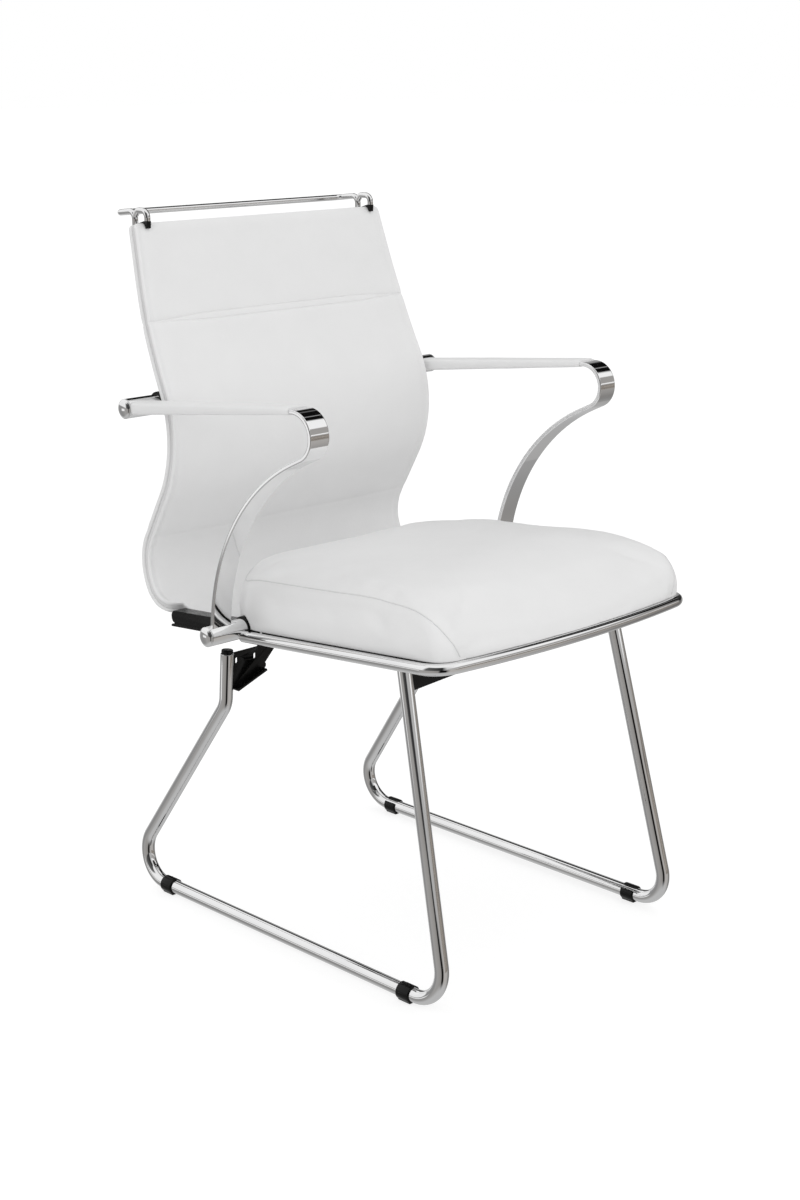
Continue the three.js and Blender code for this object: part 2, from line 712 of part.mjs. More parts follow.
// Fasteners: a head with its shank standing on base and pointing to tip
function screwProfile(shankR, headR, headH, reach) {
  return [
    [0, -headH], [headR - SMALL_EDGE, -headH], [headR, -headH + SMALL_EDGE], [headR, 0],
    [shankR, 0], [shankR, reach], [0, reach],
  ];
}

function holeTool(shankR, reach, base, tip) {
  const r = shankR + HOLE_PLAY;
  const profile = [[0, -SMALL_EDGE], [r, -SMALL_EDGE], [r, reach + HOLE_PLAY], [0, reach + HOLE_PLAY]];
  return turned(profile, base, tip, BORE_SIDES);
}

// Seat board inside the hoop, on two rails and four tabs
const BOARD_HALF = HOOP_HALF_WIDTH - HOOP_R - GAP * 2;
const UP = new THREE.Vector3(0, 0, 1);
const flangeTop = -BOARD_DOWN - GAP;
const flangeLow = flangeTop - RAIL_WEB;
const boltReach = GAP + BOARD_THICK;
const screwReach = TAB_THICK + GAP + SCREW_REACH;
const boltSpots = [];
const tabSpots = [];
for (const [name, side] of Object.entries(SIDES)) {
  const boltX = side * (RAIL_X + RAIL_FLANGE / 2 + RAIL_WEB / 2);
  const tabX = side * (BOARD_HALF - TAB_REACH / 2);
  boltSpots.push({ name: `front_${name}`, side, x: boltX, y: BOLT_FRONT_Y });
  boltSpots.push({ name: `rear_${name}`, side, x: boltX, y: BOLT_REAR_Y });
  tabSpots.push({ name: `front_${name}`, side, x: tabX, y: TAB_FRONT_Y });
  tabSpots.push({ name: `rear_${name}`, side, x: tabX, y: TAB_REAR_Y });
}

function spotTools(spots, shankR, level, reach) {
  return spots.map(({ x, y }) => {
    const base = new THREE.Vector3(x, y, level);
    return holeTool(shankR, reach, base, base.clone().add(UP));
  });
}

function makeBoard() {
  const frontY = HOOP_FRONT_Y + HOOP_R + GAP * 2;
  const x = BOARD_HALF;
  const r = BOARD_CORNER_R;
  const shape = new THREE.Shape();
  shape.moveTo(x - r, frontY);
  shape.quadraticCurveTo(x, frontY, x, frontY + r);
  shape.lineTo(x, BOARD_REAR_Y - r);
  shape.quadraticCurveTo(x, BOARD_REAR_Y, x - r, BOARD_REAR_Y);
  shape.lineTo(-x + r, BOARD_REAR_Y);
  shape.quadraticCurveTo(-x, BOARD_REAR_Y, -x, BOARD_REAR_Y - r);
  shape.lineTo(-x, frontY + r);
  shape.quadraticCurveTo(-x, frontY, -x + r, frontY);
  shape.quadraticCurveTo(0, frontY - 2 * HOOP_BOW + r / 2, x - r, frontY);
  const settings = { depth: BOARD_THICK, bevelEnabled: false, curveSegments: 6 };
  const board = new THREE.ExtrudeGeometry(shape, settings);
  board.translate(0, 0, -BOARD_DOWN);
  const bolts = spotTools(boltSpots, BOLT_D / 2, flangeLow - GAP, boltReach);
  const screws = spotTools(tabSpots, SCREW_D / 2, -BOARD_DOWN - GAP - TAB_THICK - GAP, screwReach);
  add(seat, 'seat_board', cut(board, ...bolts, ...screws), PLYWOOD);
}

function makeTab({ name, side, x, y }) {
  const top = -BOARD_DOWN - GAP;
  const low = top - TAB_THICK;
  const level = Math.min(Math.abs(top), HOOP_R);
  const hoopSide = Math.sqrt(HOOP_R ** 2 - level ** 2);
  const reach = HOOP_HALF_WIDTH - hoopSide - GAP - Math.abs(x);
  const plate = new THREE.BoxGeometry(TAB_REACH / 2 + reach, TAB_LEN, TAB_THICK);
  plate.translate(side * (Math.abs(x) + (reach - TAB_REACH / 2) / 2), y, (top + low) / 2);
  const base = new THREE.Vector3(x, y, low - GAP);
  const tip = base.clone().add(UP);
  const bored = cut(plate, holeTool(SCREW_D / 2, screwReach, base, tip));
  add(seat, `hoop_tab_${name}`, bored, CHROME);
  const profile = screwProfile(SCREW_D / 2, SCREW_HEAD_D / 2, SCREW_HEAD_H, screwReach);
  add(seat, `tab_screw_${name}`, turned(profile, base, tip, SCREW_SIDES), ZINC);
}

makeBoard();
tabSpots.forEach(makeTab);

// Cross plates between the legs
const frontPlateMidH = (FRONT_PLATE_TOP_Z + FRONT_PLATE_LOW_Z) / 2 - RUNNER_Z;
const frontPlateY = FRONT_LEG_RAKE_SHARE * frontPlateMidH;
const legXAt = (z) => SLED_HALF_WIDTH - SLED_LEAN_SHARE * (z - RUNNER_Z);

function symmetricShape(half) {
  const points = [...half, ...half.map(([x, z]) => [-x, z]).reverse()];
  return new THREE.Shape(points.map(([x, z]) => new THREE.Vector2(x, z)));
}

function makeFrontPlate() {
  const legX = legXAt(FRONT_PLATE_TOP_Z);
  const half = [
    [legX, FRONT_PLATE_TOP_Z],
    [legX, FRONT_PLATE_LOW_Z],
    [FRONT_PLATE_STEP_X, FRONT_PLATE_MID_Z],
  ];
  const plate = standingPlate(symmetricShape(half), frontPlateY - PLATE_THICK / 2, PLATE_THICK);
  const legs = Object.values(SIDES).map((side) => sledTube(side, SLED_R + GAP));
  add(chair, 'front_cross_plate', cut(plate, ...legs), BLACK_STEEL);
}

function slotHole(x, z) {
  const r = SLOT_W / 2;
  const run = (SLOT_H - SLOT_W) / 2;
  const hole = new THREE.Path();
  hole.absarc(x, z + run, r, 0, Math.PI, false);
  hole.absarc(x, z - run, r, Math.PI, 2 * Math.PI, false);
  return hole;
}

function makeRearPlate() {
  const legX = legXAt(REAR_PLATE_SIDE_TOP_Z);
  const drop = REAR_PLATE_MID_TOP_Z - REAR_PLATE_SIDE_TOP_Z;
  const bossTo = REAR_PLATE_BOSS_X - REAR_PLATE_BOSS_R * Math.SQRT1_2;
  const climb = REAR_PLATE_MID_LOW_Z - REAR_PLATE_BOSS_Z - REAR_PLATE_BOSS_R * Math.SQRT1_2;
  const boss = REAR_PLATE_BOSS_DEGS.map((deg) => [
    REAR_PLATE_BOSS_X + REAR_PLATE_BOSS_R * Math.cos(rad(deg)),
    REAR_PLATE_BOSS_Z + REAR_PLATE_BOSS_R * Math.sin(rad(deg)),
  ]);
  const half = [
    [REAR_PLATE_STEP_X - drop, REAR_PLATE_MID_TOP_Z],
    [REAR_PLATE_STEP_X, REAR_PLATE_SIDE_TOP_Z],
    [legX, REAR_PLATE_SIDE_TOP_Z],
    [legX, REAR_PLATE_LOW_Z + REAR_PLATE_CORNER],
    [legX - SLED_R, REAR_PLATE_LOW_Z],
    ...boss,
    [bossTo - climb, REAR_PLATE_MID_LOW_Z],
  ];
  const shape = symmetricShape(half);
  for (const side of Object.values(SIDES)) {
    shape.holes.push(slotHole(side * SLOT_OUT_X, SLOT_Z), slotHole(side * SLOT_IN_X, SLOT_Z));
  }
  const plate = standingPlate(shape, KNEE_Y - PLATE_THICK / 2, PLATE_THICK);
  // The lower edge of each ear is folded forwards into a lip
  const edgeLow = [legX - SLED_R, REAR_PLATE_LOW_Z];
  const edgeHigh = boss[0];
  const run = [edgeHigh[0] - edgeLow[0], edgeHigh[1] - edgeLow[1]];
  const size = Math.hypot(...run);
  const normal = [run[1] / size, -run[0] / size];
  const lipShape = new THREE.Shape([
    new THREE.Vector2(...edgeLow),
    new THREE.Vector2(...edgeHigh),
    new THREE.Vector2(edgeHigh[0] + normal[0] * PLATE_THICK, edgeHigh[1] + normal[1] * PLATE_THICK),
    new THREE.Vector2(edgeLow[0] + normal[0] * PLATE_THICK, edgeLow[1] + normal[1] * PLATE_THICK),
  ]);
  const lipY = KNEE_Y - PLATE_THICK / 2 - REAR_PLATE_LIP;
  const lip = standingPlate(lipShape, lipY, REAR_PLATE_LIP + PLATE_THICK);
  const legs = Object.values(SIDES).map((side) => sledTube(side, SLED_R + GAP));
  const bare = geometryOf(solidOf(lip));
  add(chair, 'rear_cross_plate', cut(join(plate, bare, mirrored(bare)), ...legs), BLACK_STEEL);
}

makeFrontPlate();
makeRearPlate();

// Seat rails: an angle with its flange under the board, held by a hex bolt near each end
const railFrontY = toSeat(frontPlateY + PLATE_THICK / 2, FRONT_PLATE_TOP_Z - RAIL_DEPTH)[0] + GAP;
const railRearY = toSeat(KNEE_Y - PLATE_THICK / 2, REAR_PLATE_MID_TOP_Z)[0] - GAP;

function makeRail(name, side) {
  const middle = (railFrontY + railRearY) / 2;
  const length = railRearY - railFrontY;
  const web = new THREE.BoxGeometry(RAIL_WEB, length, RAIL_DEPTH);
  web.translate(side * (RAIL_X + RAIL_WEB / 2), middle, flangeTop - RAIL_DEPTH / 2);
  const flange = new THREE.BoxGeometry(RAIL_FLANGE, length, RAIL_WEB);
  flange.translate(side * (RAIL_X + RAIL_FLANGE / 2), middle, flangeTop - RAIL_WEB / 2);
  const mine = boltSpots.filter((spot) => spot.side === side);
  const holes = spotTools(mine, BOLT_D / 2, flangeLow - GAP, boltReach);
  add(seat, `seat_rail_${name}`, cut(join(web, flange), ...holes), BLACK_STEEL);
  for (const spot of mine) {
    const base = new THREE.Vector3(spot.x, spot.y, flangeLow - GAP);
    const head = new THREE.CylinderGeometry(BOLT_HEAD_AF / 2, BOLT_HEAD_AF / 2, BOLT_HEAD_H, 6);
    head.rotateX(Math.PI / 2);
    head.translate(base.x, base.y, base.z - BOLT_HEAD_H / 2);
    const shank = turned([[0, -GAP], [BOLT_D / 2, -GAP], [BOLT_D / 2, boltReach], [0, boltReach]],
      base, base.clone().add(UP), BORE_SIDES);
    add(seat, `seat_bolt_${spot.name}`, join(head, shank), ZINC);
  }
}

for (const [name, side] of Object.entries(SIDES)) {
  makeRail(name, side);
}

// Arms: one flat bar each, from the upper cross tube over a tight nose down to the lower one
function armLine() {
  const headingDeg = 180 - ARM_RISE_DEG;
  const nose = { turn: 180 + ARM_RISE_DEG - NOSE_DROP_DEG, radius: NOSE_R };
  const top = [{ run: ARM_TOP_LEN }, nose, { run: NOSE_RUN }];
  const first = new SideLine(UPPER_ROD_Y, UPPER_ROD_Z, headingDeg, top);
  const noseEnd = first.at(first.length);
  const landY = LOWER_ROD_Y - ARM_LAND_FORE;
  const radius = (landY - noseEnd.y) / (1 - Math.sin(rad(NOSE_DROP_DEG)));
  const turn = NOSE_DROP_DEG - 90;
  const low = noseEnd.z - radius * Math.cos(rad(NOSE_DROP_DEG));
  const foot = Math.max(low - LOWER_ROD_Z, GAP);
  return new SideLine(UPPER_ROD_Y, UPPER_ROD_Z, headingDeg, [...top, { turn, radius }, { run: foot }]);
}

const ARM = armLine();

function barSolid(side, extra) {
  const half = BAR_THICK / 2 + extra;
  const stops = ARM.stops(ARM_TOP_LEN);
  const outer = stops.map((s) => ARM.beside(s, half));
  const inner = stops.map((s) => ARM.beside(s, -half)).reverse();
  const middle = side * BAR_MIDDLE_X;
  const reach = BAR_WIDTH / 2 + extra;
  return slab([...outer, ...inner], middle - reach, middle + reach);
}

function roundedRing(halfX, low, high, round, place) {
  const ring = [];
  const corners = [[1, 1, 0], [-1, 1, 90], [-1, -1, 180], [1, -1, 270]];
  for (const [sx, sz, fromDeg] of corners) {
    for (const stepDeg of QUARTER_TURN_DEGS) {
      const angle = rad(fromDeg + stepDeg);
      const x = sx * (halfX - round) + round * Math.cos(angle);
      const n = (sz > 0 ? high - round : low + round) + round * Math.sin(angle);
      ring.push(place(x, n));
    }
  }
  return ring;
}

function makeArm(name, side) {
  const bar = cut(barSolid(side, 0), upperRodTool(), lowerRodTool());
  add(chair, `arm_bar_${name}`, bar, CHROME);

  const padEnd = ARM_TOP_LEN - PAD_FRONT_SET_BACK;
  const rings = PAD_STOP_SHARES.map((share, i) => {
    const s = padEnd * share;
    const swell = PAD_SWELL_SHARES[i];
    const top = THREE.MathUtils.lerp(PAD_TOP_REAR, PAD_TOP_FRONT, share) * swell;
    const under = THREE.MathUtils.lerp(PAD_UNDER_REAR, PAD_UNDER_FRONT, share) * swell;
    const round = Math.min(PAD_ROUND, (top + under) * PAD_ROUND_SHARE);
    const halfX = PAD_WIDTH / 2 - (1 - swell) * PAD_ROUND;
    const place = (x, n) => {
      const [y, z] = ARM.beside(s, n);
      return new THREE.Vector3(side * BAR_MIDDLE_X + x, y, z);
    };
    return roundedRing(halfX, -under, top, round, place);
  });
  const pad = cut(loft(rings), barSolid(side, GAP), upperRodTool());
  add(chair, `arm_pad_${name}`, pad, LEATHERETTE);
}

for (const [name, side] of Object.entries(SIDES)) {
  makeArm(name, side);
}

// Back: a thin shell between two padded skins
const BACK = new SideLine(BACK_START_Y, BACK_START_Z, -SEAT_SLOPE_DEG, [
  { run: TONGUE_LEN }, { turn: SEAT_BEND_DEG, radius: SEAT_BEND_R },
  { run: HIP_RUN }, { turn: -LUMBAR_DEG, radius: LUMBAR_R },
  { run: LUMBAR_RUN }, { turn: SHOULDER_DEG, radius: SHOULDER_R }, { run: TOP_RUN },
]);

function backLengthAt(z) {
  let [low, high] = [TONGUE_LEN, BACK.length];
  for (let i = 0; i < HALVINGS; i += 1) {
    const middle = (low + high) / 2;
    [low, high] = BACK.at(middle).z < z ? [middle, high] : [low, middle];
  }
  return (low + high) / 2;
}

const SEAMS = SEAM_HEIGHTS.map(backLengthAt);
const NECK_HALF = BRACKET_IN_X - GAP;

function backHalfWidth(s) {
  if (s <= NECK_LEN) {
    return NECK_HALF;
  }
  const share = (s - NECK_LEN) / (BACK.length - NECK_LEN);
  let before = [0, NECK_HALF / BACK_HALF_WIDTH];
  for (const next of BACK_WIDTH_SHARES) {
    if (share <= next[0]) {
      const t = (share - before[0]) / (next[0] - before[0]);
      return BACK_HALF_WIDTH * THREE.MathUtils.lerp(before[1], next[1], t);
    }
    before = next;
  }
  return BACK_HALF_WIDTH * before[1];
}

function backStops() {
  const edge = BACK.length;
  const widths = BACK_WIDTH_SHARES.slice(0, 3).map(([share]) => NECK_LEN + share * (edge - NECK_LEN));
  const seams = SEAMS.flatMap((s) => [s - SEAM_HALF, s, s + SEAM_HALF]);
  const round = TOP_ROUND_SHARES.map((share) => edge - TOP_ROUND_LEN * share);
  const all = [...BACK.stops(STRAIGHT_STEP), NECK_LEN, ...widths, ...seams, ...round];
  const sorted = all.sort((a, b) => a - b);
  const near = SEAM_HALF / 2;
  const fixed = new Set([0, edge, NECK_LEN, ...seams, ...round]);
  return sorted.filter((s, i) => {
    const crowded = sorted.some((other, j) => j !== i && fixed.has(other) && Math.abs(other - s) < near);
    return (fixed.has(s) && sorted.indexOf(s) === i) || (!fixed.has(s) && !crowded);
  });
}

function roundedCorner(s) {
  const left = Math.max(0, TOP_ROUND_CORNER - (BACK.length - s)) / TOP_ROUND_CORNER;
  return TOP_ROUND_CORNER * (1 - Math.sqrt(1 - left * left));
}

function seamDip(s) {
  const near = Math.min(...SEAMS.map((seam) => Math.abs(s - seam)));
  return SEAM_DEPTH * Math.max(0, 1 - near / SEAM_HALF);
}

function skinRing(s, way) {
  const half = backHalfWidth(s) - roundedCorner(s);
  const rolled = Math.max(0, TOP_ROUND_LEN - (BACK.length - s)) / TOP_ROUND_LEN;
  const roll = (COVER_OUT - HALF_CORE) * (1 - Math.sqrt(1 - rolled * rolled));
  const keep = way < 0 ? roll : roll / 2;
  const full = Math.max(COVER_OUT - keep - seamDip(s), COVER_IN + SMALL_EDGE);
  const deep = full - COVER_IN;
  const [low, high] = COVER_EDGE_SHARES.map((share) => COVER_IN + deep * share);
  const profile = [
    [half - SMALL_EDGE, COVER_IN], [half, low], [half - SMALL_EDGE / 2, high],
    [half - SMALL_EDGE * 3, full], [half / 2, full], [0, full],
  ];
  const rightSide = profile.slice(0, -1).map(([x, n]) => [-x, n]).reverse();
  return [...profile, ...rightSide].map(([x, n]) => {
    const [y, z] = BACK.beside(s, way * n);
    return new THREE.Vector3(x, y, z);
  });
}

function coreRing(s) {
  const half = backHalfWidth(s) - roundedCorner(s) - CORE_INSET;
  const corners = [[half, HALF_CORE], [-half, HALF_CORE], [-half, -HALF_CORE], [half, -HALF_CORE]];
  return corners.map(([x, n]) => {
    const [y, z] = BACK.beside(s, n);
    return new THREE.Vector3(x, y, z);
  });
}

function makeBack() {
  const stops = backStops();
  add(chair, 'back_front_cover', loft(stops.map((s) => skinRing(s, -1))), LEATHERETTE);
  add(chair, 'back_rear_cover', loft(stops.map((s) => skinRing(s, 1))), LEATHERETTE);
  add(chair, 'back_shell', loft(stops.map(coreRing)), PLYWOOD);
}

makeBack();

// Side brackets: a bar beside the tongue, an eye round the lower cross tube and a lip under the tongue
const tailY = toSeat(...BACK.beside(NECK_LEN, 0))[0] - GAP * 2;

function bracketGeometry(side) {
  const [low, high] = [-BRACKET_DOWN, BRACKET_UP];
  const r = BRACKET_TAIL_ROUND;
  const outline = [
    [ROD_SEAT_Y, low], [tailY - r, low], [tailY - r / 3, low + r / 3], [tailY, low + r],
    [tailY, high - r], [tailY - r / 3, high - r / 3], [tailY - r, high], [ROD_SEAT_Y, high],
  ];
  const spanX = BRACKET_OUT_X - BRACKET_IN_X;
  const middleX = side * (BRACKET_IN_X + spanX / 2);
  const bar = slab(outline, middleX - spanX / 2, middleX + spanX / 2);
  const eye = rodAlongX(EYE_R, spanX / 2, ROD_SEAT_Y, ROD_SEAT_Z, ROD_SIDES).translate(middleX, 0, 0);
  const lipTop = toSeat(...BACK.beside(TONGUE_LEN / 2, COVER_OUT))[1] - GAP;
  const lipIn = BRACKET_IN_X - LIP_WIDTH;
  const lipFrom = ROD_SEAT_Y + LIP_START_AFTER_ROD;
  const lipLen = tailY + LIP_OVERHANG - lipFrom;
  const lip = new THREE.BoxGeometry(LIP_WIDTH + spanX, lipLen, LIP_THICK);
  lip.translate(side * (lipIn + (LIP_WIDTH + spanX) / 2), lipFrom + lipLen / 2, lipTop - LIP_THICK / 2);
  const postLow = lipTop - LIP_THICK / 2;
  const postHigh = (low + high) / 2;
  const postLen = tailY - r - lipFrom;
  const post = new THREE.BoxGeometry(spanX - LIP_GROOVE * 2, postLen, postHigh - postLow);
  post.translate(middleX, lipFrom + postLen / 2, (postLow + postHigh) / 2);
  return { body: join(bar, eye, lip, post), lipTop, lipIn, lipFrom, lipLen };
}

function makeBracket(name, side) {
  const { body, lipTop, lipIn, lipFrom, lipLen } = bracketGeometry(side);
  const reach = LIP_THICK + GAP + SCREW_REACH;
  const x = side * (lipIn + LIP_WIDTH / 2);
  const spots = BRACKET_SCREW_SHARES.map((share) => lipFrom + lipLen * share);
  const bases = spots.map((y) => new THREE.Vector3(x, y, lipTop - LIP_THICK - GAP));
  const tipOf = (base) => base.clone().add(UP);
  const holes = bases.map((base) => holeTool(SCREW_D / 2, LIP_THICK + SMALL_EDGE, base, tipOf(base)));
  add(seat, `side_bracket_${name}`, cut(body, rodInSeat(), ...holes), BLACK_PLASTIC);
  bases.forEach((base, i) => {
    const profile = screwProfile(SCREW_D / 2, SCREW_HEAD_D / 2, SCREW_HEAD_H, reach - SCREW_REACH);
    const label = i === 0 ? 'front' : 'rear';
    const screw = turned(profile, base, tipOf(base), SCREW_SIDES);
    add(seat, `bracket_screw_${label}_${name}`, screw, ZINC);
  });
}

for (const [name, side] of Object.entries(SIDES)) {
  makeBracket(name, side);
}

// Clamps: a hook over the upper cross tube with a tab screwed to the back
function makeClamp(name, side) {
  const ringIn = ROD_R + GAP;
  const ringOut = ringIn + CLAMP_WALL;
  const arc = (r) => Array.from({ length: ARC_STEPS + 1 }, (unused, i) => {
    const angle = rad(THREE.MathUtils.lerp(CLAMP_FROM_DEG, CLAMP_TO_DEG, i / ARC_STEPS));
    return [UPPER_ROD_Y + r * Math.cos(angle), UPPER_ROD_Z + r * Math.sin(angle)];
  });
  const hook = [...arc(ringOut), ...arc(ringIn).reverse()];
  const from = backLengthAt(UPPER_ROD_Z + ringIn * Math.sin(rad(CLAMP_FROM_DEG)));
  const tabStops = QUARTER_SHARES.map((share) => from + CLAMP_TAB_LEN * share);
  const near = tabStops.map((s) => BACK.beside(s, COVER_OUT + GAP * 2));
  const far = tabStops.map((s) => BACK.beside(s, COVER_OUT + GAP * 2 + CLAMP_WALL)).reverse();
  const middle = side * (CLAMP_OUT_X - CLAMP_WIDTH / 2);
  const [x0, x1] = [middle - CLAMP_WIDTH / 2, middle + CLAMP_WIDTH / 2];
  const spot = tabStops[3];
  const [y, z] = BACK.beside(spot, COVER_OUT + GAP * 3 + CLAMP_WALL);
  const [tipY, tipZ] = BACK.beside(spot, 0);
  const base = new THREE.Vector3(middle, y, z);
  const tip = new THREE.Vector3(middle, tipY, tipZ);
  const body = join(slab(hook, x0, x1), slab([...near, ...far], x0, x1));
  const hole = holeTool(SCREW_D / 2, CLAMP_WALL + SMALL_EDGE, base, tip);
  add(chair, `back_clamp_${name}`, cut(body, upperRodTool(), hole), BLACK_PLASTIC);
  const profile = screwProfile(SCREW_D / 2, SCREW_HEAD_D / 2, SCREW_HEAD_H, CLAMP_WALL + GAP);
  add(chair, `clamp_screw_${name}`, turned(profile, base, tip, SCREW_SIDES), ZINC);
}

for (const [name, side] of Object.entries(SIDES)) {
  makeClamp(name, side);
}

// Hanger: one bent rail, a prong on each side and a black clip over the top edge of the back
const BACK_TOP_Z = BACK.at(BACK.length).z;
const CLIP_REAR = COVER_OUT + GAP;
const WIRE_LEG_Y = BACK.beside(BACK.length, CLIP_REAR + CLIP_PLATE)[0] + GAP + WIRE_R;
const WIRE_LEG_FOOT_Z = BACK_TOP_Z - RAIL_FOOT_DOWN;
const PRONG_FOOT_Y = WIRE_LEG_Y - PRONG_REACH;
const CLIP_BOSS_TOP_Z = BACK.beside(BACK.length + CLIP_BOSS_UP, -CLIP_EDGE_IN)[1];

function railRoute() {
  const half = [
    new THREE.Vector3(-WIRE_X, WIRE_LEG_Y, WIRE_LEG_FOOT_Z),
    new THREE.Vector3(-WIRE_X, WIRE_LEG_Y, BACK_TOP_Z + RAIL_ARM_UP),
    new THREE.Vector3(-WIRE_X, WIRE_LEG_Y + RAIL_REACH, BACK_TOP_Z + RAIL_UP),
  ];
  const other = half.map((p) => new THREE.Vector3(-p.x, p.y, p.z)).reverse();
  return bentPoints([...half, ...other], [RAIL_BEND_R, RAIL_BEND_R, RAIL_BEND_R, RAIL_BEND_R]);
}

add(chair, 'hanger_rail', tube(railRoute(), WIRE_R, WIRE_SIDES), CHROME);

function makeProng(name, side) {
  const x = side * WIRE_X;
  const crestZ = BACK_TOP_Z + PRONG_TOP_UP;
  const corners = [
    new THREE.Vector3(x, WIRE_LEG_Y, BACK_TOP_Z + PRONG_START_UP),
    new THREE.Vector3(x, WIRE_LEG_Y - PRONG_RISE, crestZ),
    new THREE.Vector3(x, PRONG_FOOT_Y, crestZ),
    new THREE.Vector3(x, PRONG_FOOT_Y, CLIP_BOSS_TOP_Z + GAP),
  ];
  const prong = tube(bentPoints(corners, [PRONG_RISE_R, PRONG_FOOT_R]), WIRE_R, WIRE_SIDES);
  add(chair, `hanger_prong_${name}`, cut(prong, tube(railRoute(), WIRE_R + GAP, WIRE_SIDES)), CHROME);
}

function makeClip(name, side) {
  const edge = BACK.length;
  const at = (n, u) => BACK.beside(edge + u, n);
  const rear = CLIP_REAR;
  const bossTop = CLIP_BOSS_TOP_Z;
  const shelfZ = WIRE_LEG_FOOT_Z - GAP;
  const plateAt = (z) => {
    const [y0, z0] = at(rear + CLIP_PLATE, 0);
    const heading = BACK.at(edge).heading;
    return y0 + (z - z0) / Math.tan(heading);
  };
  const shelfEnd = WIRE_LEG_Y + WIRE_R + SMALL_EDGE;
  const outline = [
    at(-CLIP_FOOT_OUT, -CLIP_FOOT_DROP), at(-CLIP_FOOT_IN, -CLIP_FOOT_DROP),
    at(-CLIP_SHOULDER_IN, -CLIP_SHOULDER_DOWN), at(-CLIP_EDGE_IN, GAP),
    at(rear, GAP), at(rear, -CLIP_DROP), at(rear + CLIP_PLATE, -CLIP_DROP),
    [plateAt(shelfZ - CLIP_SHELF), shelfZ - CLIP_SHELF], [shelfEnd, shelfZ - CLIP_SHELF], [shelfEnd, shelfZ],
    [plateAt(shelfZ), shelfZ], at(rear + CLIP_PLATE, 0), at(rear, CLIP_PLATE), at(0, CLIP_PLATE),
    [PRONG_FOOT_Y + CLIP_BOSS_HALF, bossTop], [PRONG_FOOT_Y - CLIP_BOSS_HALF, bossTop],
  ];
  const x = side * WIRE_X;
  const body = slab(outline, x - CLIP_WIDTH / 2, x + CLIP_WIDTH / 2);
  const [y, z] = at(rear + CLIP_PLATE + GAP, -CLIP_DROP * CLIP_SCREW_SHARE);
  const [tipY, tipZ] = at(0, -CLIP_DROP * CLIP_SCREW_SHARE);
  const base = new THREE.Vector3(x, y, z);
  const tip = new THREE.Vector3(x, tipY, tipZ);
  const hole = holeTool(CLIP_SCREW_D / 2, CLIP_PLATE + SMALL_EDGE, base, tip);
  add(chair, `hanger_clip_${name}`, cut(body, hole), BLACK_PLASTIC);
  const profile = screwProfile(CLIP_SCREW_D / 2, CLIP_SCREW_HEAD_D / 2, CLIP_SCREW_HEAD_H, CLIP_PLATE);
  add(chair, `clip_screw_${name}`, turned(profile, base, tip, SCREW_SIDES), ZINC);
}

for (const [name, side] of Object.entries(SIDES)) {
  makeProng(name, side);
  makeClip(name, side);
}

// Seat cushion: crowned, with drawn in sides, a piped top seam and a waterfall front
function seamHeight(y) {
  const front = CUSHION_FRONT_Y - CUSHION_FRONT_BOW;
  return SEAM_NOSE + SEAM_RISE * (1 - Math.exp(-Math.max(0, y - front) / WATERFALL_LEN));
}

function cushionOutline() {
  const w = CUSHION_HALF_WIDTH;
  const half = [];
  const frontX = w - CUSHION_FRONT_CORNER;
  for (let i = 0; i <= CUSHION_BOW_STEPS; i += 1) {
    const x = (frontX * i) / CUSHION_BOW_STEPS;
    half.push([x, CUSHION_FRONT_Y - CUSHION_FRONT_BOW * (1 - (x / frontX) ** 2)]);
  }
  for (const deg of CUSHION_FRONT_DEGS) {
    const angle = rad(deg);
    half.push([
      frontX + CUSHION_FRONT_CORNER * Math.sin(angle),
      CUSHION_FRONT_Y + CUSHION_FRONT_CORNER * (1 - Math.cos(angle)),
    ]);
  }
  const sideFrom = CUSHION_FRONT_Y + CUSHION_FRONT_CORNER;
  const sideTo = CUSHION_REAR_Y - CUSHION_REAR_CORNER;
  for (const share of CUSHION_SIDE_SHARES) {
    half.push([w, THREE.MathUtils.lerp(sideFrom, sideTo, share)]);
  }
  for (const deg of CUSHION_REAR_DEGS) {
    const angle = rad(deg);
    half.push([
      w - CUSHION_REAR_CORNER * (1 - Math.cos(angle)),
      sideTo + CUSHION_REAR_CORNER * Math.sin(angle),
    ]);
  }
  for (const share of CUSHION_REAR_SHARES) {
    half.push([(w - CUSHION_REAR_CORNER) * share, CUSHION_REAR_Y]);
  }
  const other = half.slice(1, -1).map(([x, y]) => [-x, y]).reverse();
  return [...half, ...other];
}

